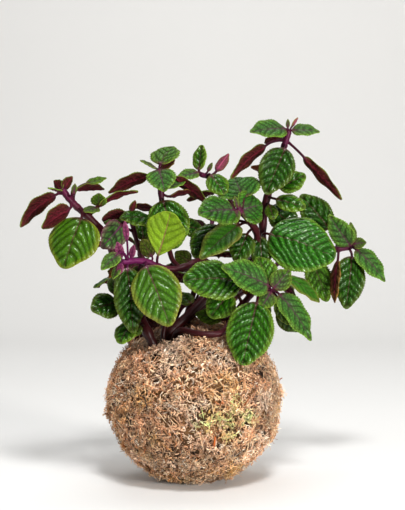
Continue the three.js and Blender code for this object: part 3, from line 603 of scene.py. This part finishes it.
shoots["shoot_top"] = dict(fromShare=0.4, radii=(2.8, 1.8), path=(
    "50 163 20, 49 172 21, 51 197 18, 58 219 14, 64 238 10, 68 250 8"), leaves=[
    "grey .98, 65 251 6, 41 249 0, -.1 -.75 .65, .75 .05 .05",
    "grey .98, 70 250 7, 89 249 1, .1 -.65 .75, .78 .05 .05",
    "dark .82, 65 237 3, 52 206 -9, .1 -.9 .4, .68 .06",
    "young .88, 51 239 9, 27.5 217 1, -.5 .7 .5, .34 .07",
    "young .88, 78.5 231 9, 104.5 202 1, .5 .7 .5, .26 .02",
    "dusk .99, 70 253 8, 74 259 9, -.6 .6 .5, .5 0 .1",
    "young .99, 67 252 6, 67 258 4, 0 -.9 .3, .5 0 .1",
    "maroon .93, 63 246 12, 51 241 24, 0 .3 .95, .8 .05",
    "copper .7, 52 222 14, 41 224 17, -.2 .4 .85, .9",
    "mature .55, 61 209 10, 79 218 4, .1 -.85 .5, .85 .05",
    "mature .45, 59 201 8, 79 195 -3, .2 -.85 .5, .72 .05",
    "mature .4, 54 197 11, 57 187 4, 0 -.9 .4, .8",
    "dark .3, 54 194 20, 75 180 18, .1 -.9 .4, .85 .05",
    "broad .18, 54 176 5, 99 160 -12, .15 -.85 .5, .98 .09 -.05",
])
shoots["shoot_front"] = dict(fromShare=0.4, radii=(2.4, 2), path=(
    "43 158 20, 44 165 11, 45 176 3, 40 185 -7, 33 192 -15, 31 194 -17"), leaves=[
    "flushed .97, 29 193 -20, 4 191 -31, -.1 -.85 .5, .88 .06",
    "flushed .97, 33 193 -16, 48 197 -1, .55 -.75 .35, 1.05 .05",
    "young .99, 31 195 -18, 29 203 -20, .2 -.9 .2, .5 0 .1",
    "young .99, 31 193 -20, 30 184 -26, 0 -.8 .5, .5 0 .1",
    "grey .8, 35 202 -9, 29 216 18, -.1 -.8 .5, 1.1 .05",
    "dark .55, 17 182 0, 1 160 -8, -.3 -.9 .2, .8 .06",
    "smooth .6, 32 182 -8, 6 159 -17, -.3 -.85 .4, .55 .05 .15",
    "dark .5, 38 176 0, 30 157 -5, 0 -.95 .3, .8 .05",
    "dark .45, 47 174 6, 49 152 -1, .1 -.95 .3, .7 .05",
])
shoots["shoot_middle"] = dict(fromShare=0.4, radii=(1.9, 1.6), path=(
    "33 151 20, 33 165 23, 30 188 27, 24 204 27, 14 215 19, 4 219 10"), leaves=[
    "mature .97, 3.5 222 8, 5.5 239 11, -.5 -.85 0, .66 0 .25",
    "grey .98, 3 220 6, -11 217 2, 0 -.75 .65, .7 0 .1",
    "mature .88, 12 218 8, 22 205 0, .2 -.8 .5, 1 .05",
    "dusk .88, 16 221 14, 24.5 233 16, .5 .7 .4, .5 0 .1",
    "young .95, 10 221 10, 13 227 8, .1 -.9 .4, .5",
    "mature .7, 14 206 34, -4 200 48, -.2 .3 .9, .7 .08",
])
shoots["shoot_low_right"] = dict(radii=(2.3, 1.9), path=(
    "-15 88 -14, -14 101 -15, -9 107 -24, 1 105 -34, 11 104 -37, 19 105 -35, 25 111 -27, 30 120 -21, "
    "37 128 -20, 44 136 -22, 51 137 -28, 55 136 -31"), leaves=[
    "grey .97, 53 139 -35, 21 152 -44, -.1 -.85 .5, .64 .06",
    "fresh .97, 54 140 -27, 46 159 -15, -.1 -.85 .5, .85 .05",
    "young .99, 57 137 -32, 68 150 -31, .1 -.9 .4, .85 0 .1",
    "young .99, 55 134 -34, 48 123 -41, 0 -.9 .4, .8 0 .1",
    "grey .98, 61 133 -32, 83 101 -42, .6 -.7 .35, .62 .06 .05",
    "mature .95, 60 130 -26, 68 112 -26, 0 -.95 .3, .6",
    "dark .9, 62 124 -18, 75 107 -16, 0 -.95 .2, .8 .05",
    "dark .85, 50 126 -26, 52 116 -29, 0 -.95 .2, .9",
    "mature .82, 45 127 -37, 35 84 -47, 0 -.96 .25, .75 .08 -.04",
    "mature .78, 33 142 -26, -6 143 -36, 0 -.85 .5, .78 .1 -.05",
    "mature .7, 26 134 -22, 12 117 -28, -.1 -.95 .3, .92 .05",
    "fresh .6, 20 115 -18, 2 119 -10, 0 -.9 .3, .6 .05",
    "copper .88, 43 134 -17, 34 139 -16, 0 -.9 .3, .8",
    "smooth .97, 67 144.5 -17, 89 128 -22, .1 -.4 .9, .8 .08",
])

# shoots at the back follow a rule: pairs stand crosswise up the stem, shorter and steeper towards the tip
backRule = dict(radii=(2.4, 1.5), shares=(0.54, 0.7, 0.85, 0.97), lengths=(36, 33, 25, 13),
                petioles=(9, 8, 5, 2), droops=(0.35, 0.3, 0.1, -0.5), width=0.78, arch=0.08, fold=0.05,
                lookOut=0.4, lookAlong=0.5, rows=8, turnSpread=0.4, droopSpread=0.2, lengthSpread=0.16)
backShoots = {
    "shoot_back_left": dict(turn=1.55, seed=17,
                            path="-20 88 6, -20 102 8, -24 118 22, -32 138 38, -38 158 52, -40 172 60"),
    "shoot_back_middle": dict(turn=1.2, seed=17,
                              path="-11 88 12, -10 102 14, -4 122 30, 4 148 48, 10 170 62, 14 190 70"),
    "shoot_back_right": dict(turn=1.4, seed=19,
                             path="-6 88 5, -4 102 8, 12 116 26, 32 132 42, 52 148 54, 68 162 62"),
    "shoot_back_low": dict(turn=0.3, seed=8, lift=0.3, size=0.75,
                           path="-16 88 18, -16 101 20, -12 119 38, -4 127 56, 4 125 74, 8 118 86"),
}


def backLeaves(turn, seed, path, lift=0, size=1):
    rule, path, state, leaves = backRule, numbers(path), seed, []
    grid = np.linspace(0, 1, rule["rows"] + 1)
    middle = alongPath(path, grid)

    def draw():  # a plain generator, the same as the part's: from -0.5 to 0.5
        nonlocal state
        state = (state * 1664525 + 1013904223) % 2 ** 32
        return state / 2 ** 32 - 0.5

    for k, share in enumerate(rule["shares"]):
        point = np.array([np.interp(share, grid, line) for line in middle.T])
        run = unit(np.diff(alongPath(path, np.array([share - 0.001, share + 0.001])), axis=0)[0])
        first = unit(np.cross((0, 0, 1), run))
        second = np.cross(run, first)
        for half in (0, 1):
            angle = turn + (k / 2 + half) * np.pi + draw() * rule["turnSpread"]
            out = first * np.cos(angle) + second * np.sin(angle)
            droop = rule["droops"][k] - lift + draw() * rule["droopSpread"]
            length = size * rule["lengths"][k] * (1 + draw() * rule["lengthSpread"])
            base = point + out * (rule["petioles"][k] + rule["radii"][1])
            tip = base + out * length * np.cos(droop) - np.array((0, 0, length * np.sin(droop)))
            facing = np.array((0, 0, 1)) + out * rule["lookOut"] + run * rule["lookAlong"]
            kind = "young" if k > 2 else "mature" if k < 2 else "grey"
            leaves.append((kind, share, base, tip, facing, rule["width"], rule["arch"], rule["fold"]))
    return leaves


def frontLeaf(row):  # one row of the table above
    head, places = row.split(",", 1)
    kind, share = head.split()
    base, tip, facing, form = numbers(places)
    return kind, float(share), place(base), place(tip), facing, *form, *[0] * (3 - len(form))


leafSkin, stemSkin = leafFinish(), stemFinish()
golden = 0.618034
for order, (node, shoot) in enumerate({**shoots, **backShoots}.items()):
    leaves = [frontLeaf(row) for row in shoot["leaves"]] if node in shoots else backLeaves(**shoot)
    path, radii = numbers(shoot["path"]), shoot.get("radii", backRule["radii"])
    fromShare, tipTint = shoot.get("fromShare", 0), shoot.get("tipTint", stemLook["tip"])
    blades, stem = Skin(), Skin()
    addStem(stem, path, radii, [share for kind, share, *leaf in leaves], fromShare, tipTint)
    for number, (kind, share, *leaf) in enumerate(leaves):
        start = alongPath(path, np.array([share]))[0]
        seed = (golden * (number + 1 + 20 * order)) % 1
        addLeaf(blades, start, leaf, kind, seed, stemTint(np.array(blend(fromShare, 1, share)), tipTint))
    plain = node.replace("shoot_", "")
    blades.make("leaves_" + plain, leafSkin, "leaf", node)
    stem.make("stem_" + plain, stemSkin, "stem", node)
print("shoots grown")


# the ball: an egg whose crown sinks towards the stems, wrapped in dried moss

ball = dict(radius=62.5, middle=58.5, rise=57, drop=61, dipCentre=(-17, -12), dipDepth=9, dipRadius=34,
            mouth=18, mouthAxis=46, thickness=9.5)
# dark gaps and pale green tufts on the front of the ball: across and height as seen, and radius
gaps = [(50, 79, 3.4), (-37, 62, 2.4), (1, 59, 2.2), (-12, 43, 3.2), (-30, 60, 2), (14, 88, 1.8),
        (28, 30, 1.8)]
tufts = [(7, 41, 5), (38, 45, 5), (26, 43, 5), (17, 45, 3), (26, 31, 5), (-6, 22, 3.5), (-14, 17, 3.5),
         (30, 55, 4), (3, 5, 2), (-3, 34, 3), (14, 90, 2)]


def fromDip(point):  # how far a point is from the axis of the dip and the mouth
    return np.hypot(point[..., 0] - ball["dipCentre"][0], point[..., 1] - ball["dipCentre"][1])


def stretch(direction, outward=0.0):  # the ball's radius across and its rise or drop in height
    tall = np.where(direction[..., 2] > 0, ball["rise"], ball["drop"])
    return stacked(ball["radius"] + outward, ball["radius"] + outward, tall + outward)


def onBall(direction, outward=0.0):  # the unit direction stretched by the ball's measures, less the dip
    point = direction * stretch(direction, outward) + (0, 0, ball["middle"])
    dip = ball["dipDepth"] * np.maximum(1 - (fromDip(point) / ball["dipRadius"]) ** 2, 0) ** 2
    point[..., 2] -= np.where(direction[..., 2] > 0, dip, 0)
    return point


def onFront(spots):  # places as seen, on the side of the ball that the front view sees
    across, height = np.array(spots, float)[:, :2].T
    inside = ball["radius"] ** 2 - across ** 2 - (height - ball["middle"]) ** 2
    return seen(across, height, -np.sqrt(np.maximum(inside, 0)))


def nearSpots(points, spots):  # 1 in a spot's middle, 0 from 1.6 times its radius
    away = np.linalg.norm(points[..., None, :] - onFront(spots), axis=-1) / np.array(spots)[:, 2]
    return (1 - ease(away, 0.3, 1.6)).max(-1)


# hills and lumps as height and size; foot, waist and crown are painted light and shade by height, paler low
# on the ball and darker at the crown; tallShade is painted light and shade on the lumps
mossLook = dict(coats=4, sprigs=10800, strands=9000, hills=(2.7, 8), lumps=(1.3, 3.2), mouthSink=7,
                mouthEdge=7, curlUp=0.4, tuftJitter=0.008, green="c6dc86", foot=1.22, waist=1.08, crown=0.82,
                tallShade=0.3, fleck=1.6, broad=24)
# the felt: dark and pale are its colours in its hollows and on its lumps, painted shade and painted light
feltLook = dict(depth=4.6, columns=230, rows=105, innerRows=16, lumps=((1.3, 9), (0.9, 4), (0.6, 1.9)),
                gapDepth=4.5, dark="281a10", pale="785430")
# sprigs: a bent stalk with pointed leaflets round it; lengths in millimetres, angles in degrees
sprigLook = dict(length=(3, 6.5), curl=1, root=(-4.3, -1.9), rise=(5, 62), leaflets=8, leaflet=(1.2, 2.4),
                 halfWidth=(0.36, 0.75), halfThick=0.17, spread=(25, 65), spiral=2.4, tuft=5, stalk=0.3)
# loose strands: share of all, length, half width, half thickness, curl, height of the root, and rise
strandFields = "share", "length", "halfWidth", "halfThick", "curl", "root", "rise"
strandPoints = 5
strandKinds = {
    "curl": (0.36, (3.5, 7.5), (0.22, 0.38), 0.2, 1.5, (-2.8, -0.8), (0, 8)),
    "flake": (0.35, (2.5, 5), (0.5, 1), 0.14, 0.7, (-3.2, -1.2), (0, 30)),
    "straw": (0.06, (9, 18), (0.2, 0.34), 0.2, 0.8, (-2, -0.6), (0, 6)),
    "hair": (0.23, (4, 8), (0.14, 0.24), 0.16, 1.2, (-2.8, -1.2), (30, 75)),
}
strandColours = {"f2d0a4": 0.25, "e6b48a": 0.35, "cc9464": 0.2, "965e36": 0.1, "fae8d0": 0.07, "c0703a": 0.03}
# patches of colour on the ball: size in millimetres, where its noise begins, and how strongly it shows
patches = {"8a7052": (26, 0.05, 0.65), "d8a850": (13, 0.3, 0.5), "c88a62": (18, 0.2, 0.45),
           "fff0dc": (16, 0.25, 0.4)}
# chips and twigs on the moss: both ends as seen, half width, and colour
twigs = [((14.5, 32), (13, 22), 1.1, "b85c14"), ((-34, 60), (-31, 49), 0.45, "1e140c"),
         ((-20, 66), (-12, 70), 0.4, "6a4020"), ((34, 52), (38, 60), 0.45, "8a4a1c")]
twigLook = dict(above=2.6, bow=0.8, halfThick=0.5)


def mossFinish():
    r = Recipe("driedMoss", Specular_IOR_Level=0.25, Sheen_Weight=0.25, Sheen_Roughness=0.5)
    colour = r.mark("tint")["Color"]
    fleck = r.noise(mossLook["fleck"], 2)
    broad = r.noise(mossLook["broad"], 3)
    colour = r.scaled(colour, 0.62 + fleck * 0.45 + broad * 0.35)
    return r.finish(Base_Color=colour, Roughness=0.78 + fleck * 0.15, Normal=r.bump(fleck, 0.5, 0.6))


def mouthSink(points):  # inside the mouth the moss lies lower, down to the soil
    inside = 1 - ease(fromDip(points), ball["mouth"] - mossLook["mouthEdge"], ball["mouth"])
    return mossLook["mouthSink"] * inside * (points[..., 2] > ball["middle"])


def addFelt(skin):
    # a shell: rings round the mouth's axis run up inside it to the rim, and from there down the outside
    look = feltLook
    mouth = np.array((*ball["dipCentre"], ball["mouthAxis"]))
    axis = unit(mouth)
    first = unit(np.cross(axis, (0, 1, 0)))
    second = np.cross(axis, first)
    rim = np.arcsin(ball["mouth"] / np.linalg.norm(mouth))
    outer = np.linspace(rim, np.pi, look["rows"] + 1)
    inner = outer[::-look["rows"] // look["innerRows"]]
    angle = np.concatenate([inner, outer])[:, None, None]
    inside = np.repeat([True, False], [len(inner), len(outer)])[:, None]
    turn = -2 * np.pi * np.arange(look["columns"])[:, None] / look["columns"]
    direction = np.cos(angle) * axis + np.sin(angle) * (np.cos(turn) * first + np.sin(turn) * second)
    surface = onBall(direction)
    lumps = sum(tall * cloud(surface, size, 1 + k) for k, (tall, size) in enumerate(look["lumps"]))
    sunk = look["gapDepth"] * nearSpots(surface, gaps)
    points = onBall(direction, np.where(inside, 0.5 - ball["thickness"], lumps - look["depth"] - sunk))
    points[..., 2] = np.maximum(points[..., 2], np.where(inside, 4, 0))
    # painted shade and light: the felt is darker in its hollows and paler on its lumps
    tint = blend(paint(look["dark"]), paint(look["pale"]), ease(lumps, -1.5, 1.2)[..., None])
    skin.add(points[None, 1:-1], points[None, [0, -1]].mean(2), dict(tint=tint[None, 1:-1]))


def scatter(random, quarter, count, tuft):
    # places on a quarter of the ball, fewer over the gaps, several close together in each tuft
    z = random.uniform(-0.98, 1, count)
    around = (quarter + random.uniform(0, 1, count)) * 2 * np.pi / mossLook["coats"]
    flat = np.sqrt(1 - z ** 2)
    direction = stacked(flat * np.cos(around), flat * np.sin(around), z)
    direction = direction[nearSpots(onBall(direction), gaps) < random.uniform(0.15, 0.6, count)]
    tone = np.repeat(random.uniform(0.8, 1.25, (len(direction), 1)), tuft, axis=0)
    direction = np.repeat(direction, tuft, axis=0)
    return unit(direction + random.normal(0, mossLook["tuftJitter"], direction.shape)), tone


def lie(random, direction, look, count):
    # middles of strands: each is a wavy line that leaves its root at a slope and bends over the ball
    number = len(direction)
    surface = onBall(direction)
    normal = unit(direction / stretch(direction))
    east = unit(np.cross((0.3, 0.2, 1), normal))
    north = np.cross(normal, east)
    heading = random.uniform(0, 2 * np.pi, (number, 1))
    head = np.cos(heading) * east + np.sin(heading) * north
    sideways = np.cross(normal, head)
    length = random.uniform(*look["length"], (number, 1))
    rise = np.radians(random.uniform(*look["rise"], (number, 1)))
    tau = np.linspace(0, 1, count)
    lag = random.uniform(0, 2 * np.pi, (3, number, 1))
    waves = random.uniform(0.35, 0.95, (2, number, 1))
    curl = look["curl"] * random.uniform(0.4, 1, (number, 1))
    swing = curl * (np.sin(2 * np.pi * waves[0] * tau + lag[0]) - np.sin(lag[0]))
    upAndDown = curl * (np.sin(2 * np.pi * waves[1] * tau + lag[1]) - np.sin(lag[1]))
    backAndForth = curl * np.sin(2 * np.pi * tau + lag[2])
    ahead = length * tau * np.cos(rise) + mossLook["curlUp"] * backAndForth
    lift = random.uniform(*look["root"], (number, 1)) + length * np.sin(rise) * tau * (1 - 0.4 * tau)
    hills = sum(tall * cloud(surface, size, 21 + k)
                for k, (tall, size) in enumerate((mossLook["hills"], mossLook["lumps"])))
    lift = lift + mossLook["curlUp"] * upAndDown + (hills - mouthSink(surface))[:, None]
    lift = lift - ahead ** 2 / (2 * ball["radius"])
    middle = (surface[:, None] + head[:, None] * ahead[..., None] + sideways[:, None] * swing[..., None]
              + normal[:, None] * lift[..., None])
    middle[..., 2] = np.maximum(middle[..., 2], 0.6)
    run = unit(np.gradient(middle, axis=1))
    across = unit(np.cross(run, normal[:, None]) + random.normal(0, 0.3, (number, 1, 3)))
    return surface, middle, across, np.cross(across, run), run


def mossTint(random, surface, tone):
    # each strand draws a colour, tinged by the patch that it lies in; painted light makes it paler low on the
    # ball and on the lumps, and painted shade makes it darker in the hollows and at the crown
    look, number = mossLook, len(surface)
    colours = np.array([paint(code) for code in strandColours])
    tint = colours[random.choice(len(colours), number, p=list(strandColours.values()))]
    for order, (code, (size, start, strength)) in enumerate(patches.items()):
        share = ease(cloud(surface, size, 40 + order), start, start + 0.35) * strength
        tint = blend(tint, paint(code), (share * random.uniform(0.4, 1, number))[:, None])
    green = nearSpots(surface, tufts) * (random.uniform(0, 1, number) < 0.9)
    tint = blend(tint, paint(look["green"]), 0.95 * green[:, None])
    tall = np.clip(cloud(surface, look["lumps"][1], 22), -1, 1)[:, None]
    height = surface[:, 2:]
    lightByHeight = blend(look["foot"], look["waist"], ease(height, 10, 50))
    lightByHeight = lightByHeight * blend(1, look["crown"], ease(height, 80, 108))
    return tint * tone * lightByHeight * (1 + look["tallShade"] * tall) * random.uniform(0.85, 1.15, (number, 1))


def triangleRing(middle, across, over, wide, thick):
    # three points round each middle, of which none dips into the floor
    turn = 2 * np.pi * np.arange(3) / 3
    x, y = -np.cos(turn) * wide[..., None], np.sin(turn) * np.minimum(wide, thick)[..., None]
    ring = carried(middle, across, over, x, y)
    ring[..., 2] = np.maximum(ring[..., 2], 0.05)
    return ring


def shade(along):  # darker at the root
    return ease(along, -0.2, 0.7)


def addStrands(skin, kind, quarter, seed):
    # strands: a triangle carried along the line, thin at both ends
    look, random = dict(zip(strandFields, strandKinds[kind])), np.random.default_rng(seed)
    count = int(mossLook["strands"] * look["share"] / mossLook["coats"])
    direction, tone = scatter(random, quarter, count, 1)
    surface, middle, across, over = lie(random, direction, look, strandPoints)[:4]
    tau = np.linspace(0, 1, strandPoints)[1:-1]
    wide = random.uniform(*look["halfWidth"], (len(surface), 1)) * np.sin(np.pi * (0.2 + 0.7 * tau)) ** 0.5
    rings = triangleRing(middle[:, 1:-1], across[:, 1:-1], over[:, 1:-1], wide, look["halfThick"])
    tint = mossTint(random, surface, tone)[:, None, None] * (0.7 + 0.3 * shade(tau)[:, None, None])
    skin.add(rings, middle[:, [0, -1]], dict(tint=tint))


def addSprigs(skin, quarter, seed):
    look, random = sprigLook, np.random.default_rng(seed)
    count, leaflets = int(mossLook["sprigs"] / mossLook["coats"] / look["tuft"]), look["leaflets"]
    direction, tone = scatter(random, quarter, count, look["tuft"])
    surface, middle, across, over, run = lie(random, direction, look, leaflets)
    # leaflets: spindles that leave the stalk in a spiral, each from a point through one ring to a point
    size = len(surface), leaflets
    along = np.arange(leaflets) / leaflets
    turn = look["spiral"] * np.arange(leaflets) + random.uniform(0, 2 * np.pi, size)
    spread = np.radians(random.uniform(*look["spread"], size))[..., None]
    aside = np.cos(turn)[..., None] * across + np.sin(turn)[..., None] * over
    way = run * np.cos(spread) + aside * np.sin(spread)
    length = (random.uniform(*look["leaflet"], size) * (1 - 0.3 * along))[..., None]
    half = middle + way * length * 0.45 + aside * 0.12 * length
    flat = unit(np.cross(way, aside))
    wide = random.uniform(*look["halfWidth"], size)
    rings = triangleRing(half, flat, np.cross(flat, way), wide, look["halfThick"]).reshape(-1, 1, 3, 3)
    ends = np.stack([middle, middle + way * length], 2).reshape(-1, 2, 3)
    ends[..., 2] = np.maximum(ends[..., 2], 0.3)
    tint = mossTint(random, surface, tone)[:, None] * (0.6 + 0.42 * shade(along))[:, None]
    tint = tint * random.uniform(0.88, 1.12, (*size, 1))
    skin.add(rings, ends, dict(tint=tint.reshape(-1, 1, 1, 3)))
    # stalks: from the first point through one ring to the last
    wide = np.full((len(surface), 1), look["stalk"])
    rings = triangleRing(middle[:, 3:4], across[:, 3:4], over[:, 3:4], wide, look["stalk"])
    skin.add(rings, middle[:, [0, -1]], dict(tint=tint[:, 3, None, None]))


def addTwigs(skin):
    # a chip or twig: three triangles along a line that bows over the moss
    for first, last, wide, code in twigs:
        ends = onFront([first, last])
        outward = unit(ends - (0, 0, ball["middle"]))
        first, last = ends + outward * twigLook["above"]
        middle = (first + last) / 2 + outward.mean(0) * twigLook["bow"]
        run = unit(last - first)
        across = unit(np.cross(run, outward.mean(0)))
        rings = triangleRing(blend(first, middle, np.array([0.3, 1, 1.7])[:, None])[None], across,
                             np.cross(across, run), np.full((1, 3), wide), twigLook["halfThick"])
        skin.add(rings, np.stack([first, last])[None], dict(tint=paint(code)))


mossSkin = mossFinish()
felt = Skin()
addFelt(felt)
addTwigs(felt)
felt.make("moss_felt", mossSkin, "moss", "moss_wrap")
for quarter in range(mossLook["coats"]):
    coat = Skin()
    addSprigs(coat, quarter, 50 + quarter)
    for number, kind in enumerate(strandKinds):
        addStrands(coat, kind, quarter, 100 + 10 * quarter + number)
    coat.make(f"moss_coat_{quarter + 1}", mossSkin, "moss", "moss_wrap")
print("ball wrapped")


# the soil shows only between the stems

soilLook = dict(grain=3, dark="2a1c12", pale="5a4230")


def soilFinish():
    r = Recipe("soil", Roughness=0.95, Specular_IOR_Level=0.2)
    grain = r.noise(soilLook["grain"], 4)
    colour = r.mix(grain.ease(0.35, 0.65), paint(soilLook["dark"]), paint(soilLook["pale"]))
    return r.finish(Base_Color=colour, Normal=r.bump(grain, 1.5))


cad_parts["soil_core"].data.materials.clear()
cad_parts["soil_core"].data.materials.append(soilFinish())


# the studio: one pale sheet from the floor up behind, soft lights, and the camera

studio = dict(width=6000, front=-2500, bend=900, radius=500, height=2600, colour="e9e8e6",
              glow=(1, 0.99, 0.96), glowStrength=0.2)
# place in millimetres, side in millimetres, power in watts, and colour
lamps = {
    "right": ((950, -1050, 330), 260, 19, (1, 0.98, 0.95)),
    "above": ((150, -750, 1150), 240, 12.5, (0.98, 0.99, 1)),
    "left": ((-1000, -700, 900), 500, 2, (0.97, 0.99, 1)),
    "behind": ((0, 600, 1700), 1000, 11, (0.98, 0.99, 1)),
}
lampAim = (0, 0, 130)
camera = dict(place=(6.1, -800, 185), down=1.71, focal=78.91, reach=20)  # down in degrees, reach in metres


def addSheet():
    # a flat floor, a quarter circle and a straight rise, drawn out sideways
    turn = np.linspace(0, np.pi / 2, 24)
    back = studio["bend"] + studio["radius"]
    y = np.array([studio["front"], *(studio["bend"] + studio["radius"] * np.sin(turn)), back])
    z = np.array([0, *(studio["radius"] * (1 - np.cos(turn))), studio["height"]])
    x = np.array([-1, 1]) * studio["width"] / 2
    points = stacked(x, y[:, None], z[:, None]).reshape(-1, 3) / 1000
    here = np.arange(len(y) - 1)[:, None] * 2
    mesh = bpy.data.meshes.new("room")
    mesh.from_pydata(points.tolist(), [], (here + [0, 1, 3, 2]).tolist())
    mesh.polygons.foreach_set("use_smooth", np.ones(len(mesh.polygons), bool))
    paper = Recipe("palePaint", Roughness=0.9, Specular_IOR_Level=0.2)
    mesh.materials.append(paper.finish(Base_Color=paint(studio["colour"])))
    sheet = addObject("room", mesh)


addSheet()
for name, (where, side, power, colour) in lamps.items():
    lamp = bpy.data.lights.new(name, "AREA")
    lamp.shape, lamp.size, lamp.energy, lamp.color = "SQUARE", side / 1000, power, colour
    holder = addObject(name, lamp)
    holder.location = np.array(where) / 1000
    holder.rotation_euler = Vector(np.subtract(where, lampAim)).to_track_quat("Z", "Y").to_euler()
world = bpy.data.worlds.new("paleRoom")
bpy.context.scene.world = world
world.use_nodes = True
background = world.node_tree.nodes["Background"].inputs
background["Color"].default_value = (*studio["glow"], 1)
background["Strength"].default_value = studio["glowStrength"]

eye = bpy.data.cameras.new("eye")
eye.lens, eye.clip_end = camera["focal"], camera["reach"]
holder = addObject("eye", eye)
holder.location = np.array(camera["place"]) / 1000
holder.rotation_euler = (np.radians(90 - camera["down"]), 0, 0)
bpy.context.scene.camera = holder
bpy.context.scene.view_settings.view_transform = "Standard"
print("studio lit")
